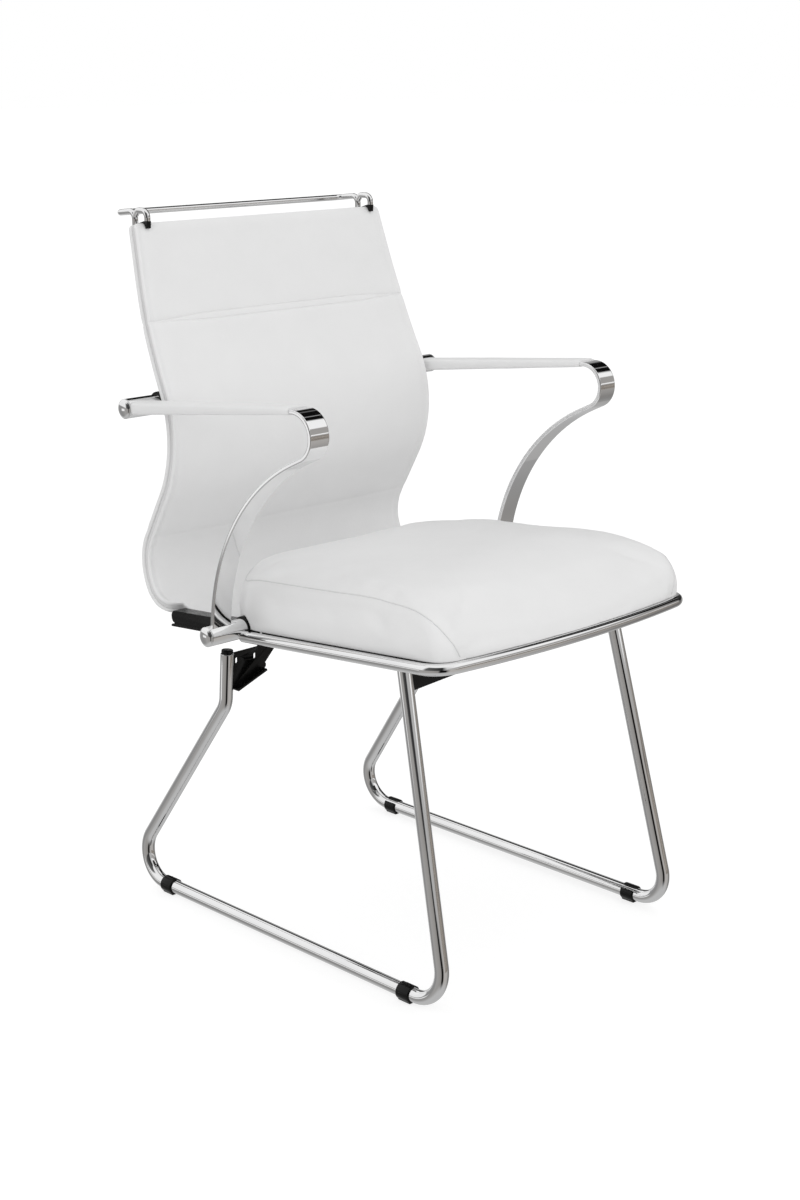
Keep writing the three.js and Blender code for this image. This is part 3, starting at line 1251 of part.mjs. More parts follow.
function makeCushion() {
  const outline = cushionOutline();
  const scaled = (share, height) => outline.map(([x, y]) => {
    const py = CUSHION_CENTRE_Y + (y - CUSHION_CENTRE_Y) * share;
    return new THREE.Vector3(x * share, py, height(py));
  });
  const mix = (share) => (y) => THREE.MathUtils.lerp(CUSHION_UNDER, seamHeight(y), share);
  const crownAt = (share) => (y) => seamHeight(y) + CROWN * (1 - share ** CROWN_POWER);
  const rings = [
    ...CUSHION_WALL_SHARES.map(([plan, height]) => scaled(plan, mix(height))), scaled(SEAM_SHARE, seamHeight),
    scaled(PIPE_SHARE, (y) => seamHeight(y) + PIPE_H / 2), scaled(SEAM_SHARE, (y) => seamHeight(y) + PIPE_H),
    ...CROWN_SHARES.map((share) => scaled(share, crownAt(share))),
  ];
  // Underneath it clears the eyes round the cross tube, and behind them it lies on the side brackets
  const clear = EYE_R + GAP;
  const front = ROD_SEAT_Y - clear;
  const rear = CUSHION_REAR_Y + OVERRUN;
  const wide = 2 * (CUSHION_HALF_WIDTH + OVERRUN);
  const stepTool = (y0, y1, top) => {
    const tool = new THREE.BoxGeometry(wide, y1 - y0, top + OVERRUN);
    return tool.translate(0, (y0 + y1) / 2, (top - OVERRUN) / 2);
  };
  const overEyes = stepTool(front, ROD_SEAT_Y + clear, ROD_SEAT_Z + clear);
  const overTongue = stepTool(front, rear, BRACKET_UP + GAP);
  add(seat, 'seat_cushion', cut(loft(rings), overEyes, overTongue), LEATHERETTE);
}

makeCushion();

// The origin lies on the floor under the middle of the outer box
const frontMost = HOOP_FRONT_Y - HOOP_BOW - HOOP_R;
const rearMost = WIRE_LEG_Y + RAIL_REACH + WIRE_R;
chair.position.y = -(frontMost + rearMost) / 2;

export default chair;
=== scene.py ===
# A sled base visitor chair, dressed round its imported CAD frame. Lengths are in millimetres until at() or
# seat_at() turns them into the frame's metres; y is measured from the front corner of the runner.
import math
from math import cos, pi, radians, sin, sqrt

import bmesh
import bpy
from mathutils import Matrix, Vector, noise
from mathutils.bvhtree import BVHTree
from mathutils.kdtree import KDTree


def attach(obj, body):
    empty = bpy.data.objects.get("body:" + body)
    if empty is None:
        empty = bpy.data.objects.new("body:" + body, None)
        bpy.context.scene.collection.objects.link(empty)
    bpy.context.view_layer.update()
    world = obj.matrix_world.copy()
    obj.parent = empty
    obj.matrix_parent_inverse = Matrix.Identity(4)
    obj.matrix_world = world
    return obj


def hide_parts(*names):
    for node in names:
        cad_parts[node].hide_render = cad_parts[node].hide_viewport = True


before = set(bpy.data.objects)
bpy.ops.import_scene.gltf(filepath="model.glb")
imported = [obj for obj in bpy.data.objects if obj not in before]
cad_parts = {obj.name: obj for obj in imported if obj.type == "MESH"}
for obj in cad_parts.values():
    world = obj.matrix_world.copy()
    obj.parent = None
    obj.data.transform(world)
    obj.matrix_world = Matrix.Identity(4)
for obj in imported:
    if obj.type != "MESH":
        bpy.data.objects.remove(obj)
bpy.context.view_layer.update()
BODY = "root"
MM = 0.001

# Frame sizes, the same as in the CAD source
CENTRE_Y = 300.991
SLED_R = 9
SLED_HALF_WIDTH = 216
SLED_LEAN = 0.06
FRONT_RAKE = 0.241
REAR_RAKE = 0.694
RUNNER_LEN = 619.4
RUNNER_Z = 11.5
SLED_BEND_R = 41
KNEE_BEND_R = 34
KNEE_H = 283.3
REAR_TOP_H = 352.6
FRONT_TOP_H = 402.5
HOOP_R = 7.4
HOOP_HALF_WIDTH = 229.5
HOOP_FRONT_Z = 439.5
HOOP_FRONT_Y = 1.2
HOOP_BOW = 16.4
HOOP_CORNER_R = 26.8
SLOPE = radians(4.82)
ROD_R = 12.7
LOWER_ROD = (359.1, 417.2)
UPPER_ROD = (516, 685.8)
LOWER_HALF = 285.2
UPPER_HALF = 281.5
CAP_RIM = 1.6
CAP_DOME = 4.2
BAR_X = 259.7
BAR_HALF_WIDTH = 15
BAR_HALF_THICK = 2.75
ARM_RISE = 6.36
ARM_TOP_LEN = 316
NOSE_R = 28.9
NOSE_DROP = 25
NOSE_RUN = 17.2
ARM_LAND_FORE = 3.6
PAD_HALF_WIDTH = 17.5
PAD_LEN = 313
WIRE_R = 4
WIRE_X = 198
SIDES = (("right", -1), ("left", 1))


def at(x, y, z):
    return Vector((x, y - CENTRE_Y, z)) * MM


def seat_at(x, y, z):
    """A point in the tilted plane of the seat hoop."""
    up = cos(SLOPE) * z - sin(SLOPE) * y
    return at(x, cos(SLOPE) * y + sin(SLOPE) * z, HOOP_FRONT_Z + up)


def smooth_step(t):
    t = min(1.0, max(0.0, t))
    return t * t * (3 - 2 * t)


def bell(distance, width):
    return math.exp(-((distance / width) ** 2))


def set_all(thing, **values):
    for key, value in values.items():
        setattr(thing, key, value)


def new_object(name, data):
    obj = bpy.data.objects.new(name, data)
    bpy.context.scene.collection.objects.link(obj)
    return obj


# Camera
CAMERA_PLACE = (-1.8148, -1.8375, 1.1315)
CAMERA_AZIMUTH = -44.686
CAMERA_ELEVATION = 15.346
LENS = 60.645
SENSOR = 36


def make_camera():
    data = bpy.data.cameras.new("camera")
    set_all(data, sensor_fit="VERTICAL", sensor_height=SENSOR, sensor_width=SENSOR, lens=LENS)
    set_all(data, clip_start=0.05, clip_end=60)
    camera = new_object("camera", data)
    azimuth = radians(CAMERA_AZIMUTH)
    tilt = radians(CAMERA_ELEVATION)
    back = Vector((sin(azimuth) * cos(tilt), -cos(azimuth) * cos(tilt), sin(tilt)))
    camera.location = CAMERA_PLACE
    camera.rotation_mode = "QUATERNION"
    camera.rotation_quaternion = (-back).to_track_quat("-Z", "Y")
    bpy.context.scene.camera = camera


# Materials
class Nodes:
    """A node tree with short calls for new nodes and links."""

    def __init__(self, tree):
        self.tree = tree
        tree.nodes.clear()

    def new(self, kind, settings=None, **inputs):
        node = self.tree.nodes.new(kind)
        set_all(node, **(settings or {}))
        for key, value in inputs.items():
            self.set(node, key.replace("_", " "), value)
        return node

    def set(self, node, name, value):
        socket = node.inputs[name]
        if isinstance(value, bpy.types.NodeSocket):
            self.tree.links.new(value, socket)
        else:
            socket.default_value = value

    def maths(self, operation, *values):
        node = self.new("ShaderNodeMath", {"operation": operation})
        for index, value in enumerate(values):
            self.set(node, index, value)
        return node.outputs[0]

    def mix(self, factor, low, high):
        """Two colours blended by a factor."""
        node = self.new("ShaderNodeMix", {"data_type": "RGBA"})
        self.set(node, 0, factor)
        self.set(node, 6, low)
        self.set(node, 7, high)
        return node.outputs[2]

    def mix_shaders(self, factor, low, high):
        node = self.new("ShaderNodeMixShader")
        for index, value in enumerate((factor, low, high)):
            self.set(node, index, value)
        return node.outputs[0]


def new_material(name):
    material = bpy.data.materials.new(name)
    material.use_nodes = True
    nodes = Nodes(material.node_tree)
    shader = nodes.new("ShaderNodeBsdfPrincipled")
    output = nodes.new("ShaderNodeOutputMaterial")
    nodes.set(output, "Surface", shader.outputs[0])
    place = nodes.new("ShaderNodeTexCoord").outputs["Object"]
    return material, nodes, shader, place


def grey(value, warm=0.0):
    return (value * (1 + warm), value, value * (1 - warm), 1)


def fine_noise(nodes, place, scale, detail=2.0):
    return nodes.new("ShaderNodeTexNoise", Vector=place, Scale=scale, Detail=detail).outputs["Fac"]


def ramp(nodes, factor, low, high, start=0.3, end=0.7):
    """Two colours spread over the middle of a noise."""
    node = nodes.new("ShaderNodeValToRGB", Fac=factor)
    for element, position, colour in zip(node.color_ramp.elements, (start, end), (low, high)):
        element.position = position
        element.color = colour
    return node.outputs["Color"]


def spread(nodes, factor, low, high):
    node = nodes.new("ShaderNodeMapRange", Value=factor)
    nodes.set(node, "From Min", 0.3)
    nodes.set(node, "From Max", 0.7)
    nodes.set(node, "To Min", low)
    nodes.set(node, "To Max", high)
    return node.outputs["Result"]


def bump(nodes, shader, *layers):
    """Each layer is (height, strength, distance in mm)."""
    normal = None
    for height, strength, distance in layers:
        node = nodes.new("ShaderNodeBump", Height=height, Strength=strength, Distance=distance * MM)
        if normal is not None:
            nodes.set(node, "Normal", normal)
        normal = node.outputs["Normal"]
    nodes.set(shader, "Normal", normal)


def make_leatherette(name, low, high):
    material, nodes, shader, place = new_material(name)
    cells = nodes.new("ShaderNodeTexVoronoi", {"feature": "DISTANCE_TO_EDGE"}, Vector=place, Scale=620.0)
    folds = nodes.new("ShaderNodeTexVoronoi", {"feature": "SMOOTH_F1"}, Vector=place, Scale=260.0)
    tone = fine_noise(nodes, place, 22.0, 3.0)
    nodes.set(shader, "Base Color", ramp(nodes, tone, low, high))
    nodes.set(shader, "Roughness", spread(nodes, fine_noise(nodes, place, 90.0), 0.46, 0.56))
    nodes.set(shader, "Specular IOR Level", 0.35)
    nodes.set(shader, "Sheen Weight", 0.08)
    nodes.set(shader, "Sheen Roughness", 0.5)
    bump(
        nodes,
        shader,
        (folds.outputs["Distance"], 0.25, 0.25),
        (cells.outputs["Distance"], 0.35, 0.18),
        (fine_noise(nodes, place, 1500.0), 0.2, 0.08),
    )
    return material


def make_chrome():
    material, nodes, shader, place = new_material("chrome_plate")
    nodes.set(shader, "Metallic", 1.0)
    tone = fine_noise(nodes, place, 14.0)
    nodes.set(shader, "Base Color", ramp(nodes, tone, (0.84, 0.84, 0.845, 1), (0.90, 0.90, 0.90, 1)))
    nodes.set(shader, "Roughness", spread(nodes, fine_noise(nodes, place, 45.0, 4.0), 0.03, 0.06))
    waves = (fine_noise(nodes, place, 18.0), 0.06, 1.0)
    polish = (fine_noise(nodes, place, 900.0), 0.03, 0.02)
    bump(nodes, shader, waves, polish)
    return material


def make_black(name, value, rough, grain):
    material, nodes, shader, place = new_material(name)
    tone = fine_noise(nodes, place, 60.0)
    wear = fine_noise(nodes, place, 240.0)
    nodes.set(shader, "Base Color", ramp(nodes, tone, grey(value * 0.8), grey(value * 1.25)))
    nodes.set(shader, "Roughness", spread(nodes, wear, rough - 0.06, rough + 0.06))
    nodes.set(shader, "Specular IOR Level", 0.22)
    bump(nodes, shader, (fine_noise(nodes, place, grain, 3.0), 0.3, 0.08))
    return material


def make_zinc():
    material, nodes, shader, place = new_material("zinc_plate")
    nodes.set(shader, "Metallic", 1.0)
    tone = fine_noise(nodes, place, 300.0)
    nodes.set(shader, "Base Color", ramp(nodes, tone, grey(0.45, 0.02), grey(0.62, 0.01)))
    nodes.set(shader, "Roughness", spread(nodes, fine_noise(nodes, place, 700.0), 0.28, 0.42))
    bump(nodes, shader, (fine_noise(nodes, place, 1200.0), 0.2, 0.05))
    return material


def make_plywood():
    """Plywood stained black, its grain still felt."""
    material, nodes, shader, place = new_material("plywood")
    stretch = nodes.new("ShaderNodeMapping", Vector=place)
    nodes.set(stretch, "Scale", (14.0, 1.2, 60.0))
    grain = fine_noise(nodes, stretch.outputs[0], 9.0, 6.0)
    nodes.set(shader, "Base Color", ramp(nodes, grain, grey(0.010, 0.1), grey(0.028, 0.12)))
    nodes.set(shader, "Roughness", spread(nodes, grain, 0.45, 0.6))
    bump(nodes, shader, (grain, 0.3, 0.2))
    return material


LEATHERETTE = make_leatherette("leatherette", grey(0.835), grey(0.85))
BAND = make_leatherette("edge_band", grey(0.72), grey(0.75))
CHROME = make_chrome()
PLASTIC = make_black("black_plastic", 0.004, 0.24, 1600.0)
STEEL = make_black("black_powder_coat", 0.004, 0.3, 900.0)
ZINC = make_zinc()
PLYWOOD = make_plywood()


# Mesh helpers
def make_mesh(name, verts, faces, material, sharp_deg=None):
    mesh = bpy.data.meshes.new(name)
    mesh.from_pydata([tuple(v) for v in verts], [], faces)
    mesh.validate()
    sorted_out = bmesh.new()
    sorted_out.from_mesh(mesh)
    bmesh.ops.recalc_face_normals(sorted_out, faces=sorted_out.faces)
    sorted_out.to_mesh(mesh)
    sorted_out.free()
    mesh.polygons.foreach_set("use_smooth", [True] * len(mesh.polygons))
    if sharp_deg:
        mesh.set_sharp_from_angle(angle=radians(sharp_deg))
    mesh.materials.append(material)
    return new_object(name, mesh)


def coat(obj, material):
    obj.data.polygons.foreach_set("use_smooth", [True] * len(obj.data.polygons))
    obj.data.materials.clear()
    obj.data.materials.append(material)


def add_modifier(obj, kind, **settings):
    modifier = obj.modifiers.new(kind.lower(), kind)
    set_all(modifier, **settings)
    return modifier


def claim(obj, slot, *nodes):
    """The piece rides on the chair and stands for the CAD nodes, which it hides; the slot is not used."""
    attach(obj, BODY)
    if nodes:
        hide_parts(*nodes)
    return obj


def skin(name, rings, material, sharp_deg=None):
    """A closed piece over rings of equal length, each ring closed on itself."""
    verts = [v for ring in rings for v in ring]
    count = len(rings[0])
    faces = []
    for r in range(len(rings) - 1):
        for i in range(count):
            a = r * count + i
            b = r * count + (i + 1) % count
            faces.append((a, b, b + count, a + count))
    faces.append(tuple(range(count)))
    last = (len(rings) - 1) * count
    faces.append(tuple(last + i for i in reversed(range(count))))
    return make_mesh(name, verts, faces, material, sharp_deg)


def bent(corners, radii, step_deg=3.0):
    """Corner points in mm with a bend radius each, as straight runs and round bends."""
    corners = [Vector(c) for c in corners]
    points = [corners[0]]
    for i in range(1, len(corners) - 1):
        corner = corners[i]
        back = (corners[i - 1] - corner).normalized()
        ahead = (corners[i + 1] - corner).normalized()
        half = back.angle(ahead) / 2
        radius = radii[i - 1]
        start = corner + back * (radius / math.tan(half))
        centre = corner + (back + ahead).normalized() * (radius / sin(half))
        first = (start - centre).normalized()
        turn = pi - 2 * half
        steps = max(2, math.ceil(math.degrees(turn) / step_deg))
        for k in range(steps + 1):
            angle = turn * k / steps
            points.append(centre + first * (radius * cos(angle)) - back * (radius * sin(angle)))
    points.append(corners[-1])
    return points


def tube_rings(points, radius, sides=36, round_ends=(0.0, 0.0)):
    """Rings round a route in mm; a rounded end draws in over its length."""
    tangents = []
    for i, point in enumerate(points):
        before = points[max(i - 1, 0)]
        after = points[min(i + 1, len(points) - 1)]
        arriving = (point - before).normalized() if i else (after - point).normalized()
        leaving = (after - point).normalized() if i < len(points) - 1 else arriving
        tangents.append((arriving + leaving).normalized())
    side = tangents[0].orthogonal().normalized()
    rings = []
    for i, point in enumerate(points):
        if i:
            side = tangents[i - 1].rotation_difference(tangents[i]) @ side
        side = (side - tangents[i] * side.dot(tangents[i])).normalized()
        other = tangents[i].cross(side)
        rings.append((point, side.copy(), other, tangents[i]))

    def ring(place, scale, push):
        point, u, v, t = place
        angles = [2 * pi * k / sides for k in range(sides)]
        edge = radius - scale
        return [point + t * push + (u * cos(a) + v * sin(a)) * edge for a in angles]

    made = []
    steps = 5
    for end, place, way in ((0, rings[0], 1), (1, rings[-1], -1)):
        soft = round_ends[end]
        group = []
        for k in range(steps + 1 if soft else 1):
            angle = pi / 2 * k / steps if soft else pi / 2
            group.append(ring(place, soft * (1 - sin(angle)), way * soft * (1 - cos(angle))))
        made.append(group)
    middle = [ring(place, 0.0, 0.0) for place in rings[1:-1]]
    return made[0] + middle + list(reversed(made[1]))


def tube(name, points, radius, material, sides=36, round_ends=(0.0, 0.0)):
    rings = tube_rings(points, radius, sides, round_ends)
    return skin(name, [[at(*p) for p in ring] for ring in rings], material, 50)


def turned(name, profile, base, way, material, sides=64, sharp_deg=35):
    """A lathe piece: profile of (radius, height) from base along way, in mm."""
    way = Vector(way).normalized()
    u = way.orthogonal().normalized()
    v = way.cross(u)
    rings = []
    angles = [2 * pi * k / sides for k in range(sides)]
    for radius, height in profile:
        centre = Vector(base) + way * height
        rings.append([at(*(centre + (u * cos(a) + v * sin(a)) * radius)) for a in angles])
    return skin(name, rings, material, sharp_deg)


def rounded_profile(points, radius, steps=4):
    """Corner points of a lathe profile, each inner corner rounded."""
    made = [points[0]]
    for i in range(1, len(points) - 1):
        corner = Vector(points[i])
        back = Vector(points[i - 1]) - corner
        ahead = Vector(points[i + 1]) - corner
        reach = min(radius, back.length * 0.45, ahead.length * 0.45)
        start = corner + back.normalized() * reach
        end = corner + ahead.normalized() * reach
        for k in range(steps + 1):
            t = k / steps
            made.append(tuple(start * (1 - t) ** 2 + corner * (2 * t * (1 - t)) + end * t * t))
    made.append(points[-1])
    return made


class Line:
    """A line in the side plane made of straight runs and round turns, as in the CAD source."""

    def __init__(self, y, z, heading_deg, pieces):
        self.start = (y, z, radians(heading_deg))
        self.pieces = pieces
        self.length = sum(self.length_of(p) for p in pieces)

    @staticmethod
    def length_of(piece):
        return piece[1] if piece[0] == "run" else piece[1] * abs(radians(piece[2]))

    @staticmethod
    def step(place, piece, distance):
        y, z, heading = place
        if piece[0] == "run":
            return y + distance * cos(heading), z + distance * sin(heading), heading
        way = math.copysign(1, piece[2])
        radius = piece[1]
        after = heading + way * distance / radius
        return (
            y + way * radius * (sin(after) - sin(heading)),
            z - way * radius * (cos(after) - cos(heading)),
            after,
        )

    def place(self, s):
        place = self.start
        for piece in self.pieces:
            length = self.length_of(piece)
            if s <= length:
                return self.step(place, piece, s)
            place = self.step(place, piece, length)
            s -= length
        return self.step(place, ("run", s), s)

    def beside(self, s, offset):
        y, z, heading = self.place(s)
        return y + offset * sin(heading), z - offset * cos(heading)

    def stops(self, straight_step, turn_step_deg):
        made = [0.0]
        s = 0.0
        for piece in self.pieces:
            length = self.length_of(piece)
            amount = length / straight_step if piece[0] == "run" else abs(piece[2]) / turn_step_deg
            steps = max(1, math.ceil(amount))
            made += [s + length * k / steps for k in range(1, steps + 1)]
            s += length
        return made


# Sled frames with their plugs and glides
PLUG_R = 7.8
PLUG_RIM = 5.3
PLUG_TOP = 6.0
PLUG_ROUND = 1.4
GAP = 0.1
AXIS = 0.01


def sled_point(side, y, h):
    return (side * (SLED_HALF_WIDTH - SLED_LEAN * h), y, RUNNER_Z + h)


def make_sled(name, side):
    knee_y = RUNNER_LEN - REAR_RAKE * KNEE_H
    corners = [
        sled_point(side, FRONT_RAKE * FRONT_TOP_H, FRONT_TOP_H),
        sled_point(side, 0, 0),
        sled_point(side, RUNNER_LEN, 0),
        sled_point(side, knee_y, KNEE_H),
        sled_point(side, knee_y, REAR_TOP_H),
    ]
    route = bent(corners, [SLED_BEND_R, SLED_BEND_R, KNEE_BEND_R], 2.5)
    obj = tube(f"sled_{name}", route, SLED_R, CHROME, 48, (0.0, 1.0))
    claim(obj, "chrome", f"sled_frame_{name}")
    top = Vector(corners[4])
    way = top - Vector(corners[3])
    profile = [(AXIS, GAP), (PLUG_R, GAP), (PLUG_R, PLUG_RIM), (AXIS, PLUG_TOP)]
    plug = turned(f"plug_{name}", rounded_profile(profile, PLUG_ROUND), top, way, PLASTIC)
    claim(plug, "black_plastic", f"leg_plug_{name}")


GLIDES = {"front": 67.05, "rear": 530.05}
GLIDE_HALF = 10
GLIDE_R = 11.3
GLIDE_BORE_R = SLED_R + 0.3
SOLE_HALF = 6
SOLE_CHAMFER = (0.6, 0.4)
SLOT_AT = radians(58)
SLOT_HALF = radians(18)
# How far in from a glide's end each ring lies, and how much its rim draws in
GLIDE_RIM = ((0, 0.05), (0.25, 0.01), (0.8, 0))


def glide_outline():
    """Points (x, z) round a clip with a flat sole, and with a slot on the inner upper side."""
    down = radians(270)
    sole = math.acos(0.8)
    first = SLOT_AT + SLOT_HALF
    last = SLOT_AT - SLOT_HALF + 2 * pi
    arcs = (
        (first, down - sole, GLIDE_R, 22), (down + sole, last, GLIDE_R, 22), (last, first, GLIDE_BORE_R, 44),
    )
    flat = SOLE_HALF - SOLE_CHAMFER[0]
    low = -RUNNER_Z
    outline = []
    for index, (a, b, radius, steps) in enumerate(arcs):
        angles = [a + (b - a) * k / steps for k in range(steps + 1)]
        outline += [(radius * cos(angle), radius * sin(angle)) for angle in angles]
        if index == 0:
            outline += [(-SOLE_HALF, low + SOLE_CHAMFER[1]), (-flat, low)]
            outline += [(flat, low), (SOLE_HALF, low + SOLE_CHAMFER[1])]
    return outline


def make_glide(end, name, side):
    outline = glide_outline()
    stations = [(-GLIDE_HALF + inset, draw) for inset, draw in GLIDE_RIM]
    stations += [(GLIDE_HALF - inset, draw) for inset, draw in reversed(GLIDE_RIM)]
    rings = []
    for push, draw in stations:
        ring = []
        for x, z in outline:
            size = math.hypot(x, z)
            scale = 1 - draw * smooth_step((size - GLIDE_BORE_R) / (GLIDE_R - GLIDE_BORE_R))
            height = max(RUNNER_Z + z * scale, 0)
            ring.append(at(side * SLED_HALF_WIDTH - side * x * scale, GLIDES[end] + push, height))
        rings.append(ring)
    obj = skin(f"glide_cover_{end}_{name}", rings, PLASTIC, 40)
    claim(obj, "black_plastic", f"glide_{end}_{name}")


# Cross tubes and their caps
ROD_EDGE = 0.5
CAP_GAP = 0.25
CAP_R = ROD_R + 0.1
CAP_EDGE = 0.6
DOME_R = ROD_R - 1.7
DOME_FOOT = (0.2, 0.7)


def make_rod(name, place, half):
    y, z = place
    end = half - CAP_RIM - CAP_DOME
    profile = [(AXIS, -end), (ROD_R, -end), (ROD_R, end), (AXIS, end)]
    rod = turned(f"{name}_rod", rounded_profile(profile, ROD_EDGE), (0, y, z), (1, 0, 0), CHROME, 72)
    claim(rod, "chrome", f"{name}_cross_tube")
    foot = (DOME_R + DOME_FOOT[0], CAP_RIM + DOME_FOOT[1])
    rim = [(AXIS, CAP_GAP), (CAP_R, CAP_GAP), (CAP_R, CAP_RIM), foot]
    dome = [
        (DOME_R * cos(a), CAP_RIM + CAP_EDGE + (CAP_DOME - CAP_EDGE) * sin(a))
        for a in [radians(9 * k) for k in range(1, 10)]
    ]
    for side_name, side in SIDES:
        profile = rounded_profile(rim, CAP_EDGE) + dome + [(AXIS, CAP_RIM + CAP_DOME)]
        cap = turned(f"{name}_cap_{side_name}", profile, (side * end, y, z), (side, 0, 0), CHROME, 72, 50)
        claim(cap, "chrome", f"{name}_tube_cap_{side_name}")


# Seat hoop
def hoop_route():
    corner_x = HOOP_HALF_WIDTH - HOOP_CORNER_R
    slope = 2 * HOOP_BOW / corner_x
    start = math.atan(slope)
    radius = HOOP_CORNER_R / (1 - sin(start))
    half = []
    for i in range(25):
        x = corner_x * i / 24
        half.append((x, HOOP_FRONT_Y - HOOP_BOW * (1 - (x / corner_x) ** 2)))
    for k in range(1, 25):
        angle = start + (pi / 2 - start) * k / 24
        half.append((
            corner_x + radius * (sin(angle) - sin(start)),
            HOOP_FRONT_Y + radius * (cos(start) - cos(angle)),
        ))
    y, z = LOWER_ROD
    end_y = y * cos(SLOPE) - (z - HOOP_FRONT_Z) * sin(SLOPE) - ROD_R * 0.8
    half.append((HOOP_HALF_WIDTH, end_y))
    points = [(-x, y) for x, y in reversed(half)] + half[1:]
    return [(seat_at(x, y, 0) / MM + Vector((0, CENTRE_Y, 0))) for x, y in points]


def make_hoop():
    obj = tube("hoop_tube", hoop_route(), HOOP_R, CHROME, 40)
    claim(obj, "chrome", "seat_hoop")


# Arms
def arm_line():
    heading = 180 - ARM_RISE
    top = [("run", ARM_TOP_LEN), ("turn", NOSE_R, 180 + ARM_RISE - NOSE_DROP), ("run", NOSE_RUN)]
    first = Line(*UPPER_ROD, heading, top)
    y, z, _ = first.place(first.length)
    land = LOWER_ROD[0] - ARM_LAND_FORE
    radius = (land - y) / (1 - sin(radians(NOSE_DROP)))
    low = z - radius * cos(radians(NOSE_DROP))
    foot = max(low - LOWER_ROD[1], 0.3)
    return Line(*UPPER_ROD, heading, top + [("turn", radius, NOSE_DROP - 90), ("run", foot)])


ARM = arm_line()
BAR_EDGE_R = 1.1
CORNER_HOLD = 0.4


def rounded_box(half_x, low, high, radius, steps=3):
    """Points (x, n) round a box with rounded corners, with one more on each flat beside a corner."""
    made = []
    for sx, sn, start in ((1, 1, 0), (-1, 1, 90), (-1, -1, 180), (1, -1, 270)):
        centre_x = sx * (half_x - radius)
        centre_n = high - radius if sn > 0 else low + radius
        for k in range(-1, steps + 2):
            step = min(max(k, 0), steps)
            angle = radians(start + 90 * step / steps)
            past = CORNER_HOLD * (k - step)
            x = centre_x + radius * cos(angle) - past * sin(angle)
            n = centre_n + radius * sin(angle) + past * cos(angle)
            made.append((x, n))
    return made


def make_arm(name, side):
    start = ROD_R * 0.9
    end = ARM.length - ROD_R * 0.9
    stops = [start] + [s for s in ARM.stops(60, 2.5) if start + 1 < s < end - 1] + [end]
    section = rounded_box(BAR_HALF_WIDTH, -BAR_HALF_THICK, BAR_HALF_THICK, BAR_EDGE_R)
    rings = [[at(side * BAR_X + x, *ARM.beside(s, n)) for x, n in section] for s in stops]
    bar = skin(f"arm_{name}", rings, CHROME, 50)
    claim(bar, "chrome", f"arm_bar_{name}")


PAD_STOPS = [0, 0.01, 0.02] + [0.04 * k for k in range(1, 24)] + [0.94, 0.96, 0.975, 0.985, 0.992, 0.997, 1]
# Thickness above and below the bar's middle: at the rear, and how much less at the front
PAD_TOP = (8.6, 2.2)
PAD_UNDER = (8.4, 4.4)
PAD_SQUARENESS = 0.52
PAD_SIDES = 48
PAD_END_ROUND = 7
PAD_CREASE = 0.5
PAD_WAVE = 0.35
PAD_ROD_GAP = 0.5


def make_pad(name, side):
    """A sewn sleeve round the bar; its rear end is hollowed to the cross tube."""
    rings = []
    for share in PAD_STOPS:
        s = PAD_LEN * share
        swell = 1 - 0.2 * (1 - smooth_step((PAD_LEN - s) / PAD_END_ROUND)) ** 2
        top = (PAD_TOP[0] - PAD_TOP[1] * share) * swell
        under = (PAD_UNDER[0] - PAD_UNDER[1] * share) * swell
        half_x = PAD_HALF_WIDTH - (1 - swell) * 5
        ring = []
        for k in range(PAD_SIDES):
            angle = 2 * pi * k / PAD_SIDES
            c, d = cos(angle), sin(angle)
            x = half_x * math.copysign(abs(c) ** PAD_SQUARENESS, c)
            n = math.copysign(abs(d) ** PAD_SQUARENESS, d) * (top if d > 0 else under)
            crease = PAD_CREASE * bell(n + under * 0.45, 0.8) if abs(c) > 0.4 else 0.0
            x -= math.copysign(crease, x)
            n += PAD_WAVE * noise.noise(Vector((s * 0.02, x * 0.05, n * 0.06 + side * 7)))
            near_rod = sqrt(max((ROD_R + PAD_ROD_GAP) ** 2 - n * n, 0))
            y, z = ARM.beside(near_rod + (PAD_LEN - near_rod) * share, n)
            ring.append(at(side * BAR_X + x, y, z))
        rings.append(ring)
    tip = rings[-1]
    centre = sum(tip, Vector()) / len(tip)
    rings.append([centre + (p - centre) * 0.9 for p in tip])
    pad = skin(f"pad_{name}", rings, LEATHERETTE)
    claim(pad, "leatherette", f"arm_pad_{name}")


# Back
SEAT_RUN = 87.7
BACK = Line(383, 412.6, -4.82, [
    ("run", SEAT_RUN), ("turn", 67.5, 124.2), ("run", 69.8), ("turn", 152.2, -55.2),
    ("run", 12.3), ("turn", 824, 9.7), ("run", 64.2),
])
HALF_CORE = 3
COVER_IN = 3.3
COVER_OUT = 8.8
NECK_LEN = 123
NECK_HALF = 202.7
BACK_HALF = 232.6
BACK_SHARES = (
    (0.006, 0.925), (0.02, 0.973), (0.045, 0.997), (0.11, 0.994), (0.25, 1), (0.42, 1),
    (0.6, 0.996), (0.76, 0.979), (0.88, 0.953), (1, 0.927),
)
TOP_ROUND = 14
TOP_CORNER = 6
SEAM_LOW_Z = 512.5
SEAM_MIDDLE_Z = 787.5
SEAM_PAIR_HALF = 4.4


def raw_half_width(s):
    if s <= NECK_LEN:
        return NECK_HALF
    share = (s - NECK_LEN) / (BACK.length - NECK_LEN)
    before = (0, NECK_HALF / BACK_HALF)
    for here in BACK_SHARES:
        if share <= here[0]:
            t = (share - before[0]) / (here[0] - before[0])
            return BACK_HALF * (before[1] + (here[1] - before[1]) * t)
        before = here
    return BACK_HALF * before[1]


def back_half_width(s):
    reach = min(14.0, max(0.0, (s - NECK_LEN) * 0.5))
    samples = [raw_half_width(min(s + reach * k / 4, BACK.length)) for k in range(-4, 5)]
    left = max(0.0, TOP_CORNER - (BACK.length - s)) / TOP_CORNER
    corner = TOP_CORNER * (1 - sqrt(max(0.0, 1 - left * left)))
    return sum(samples) / len(samples) - corner


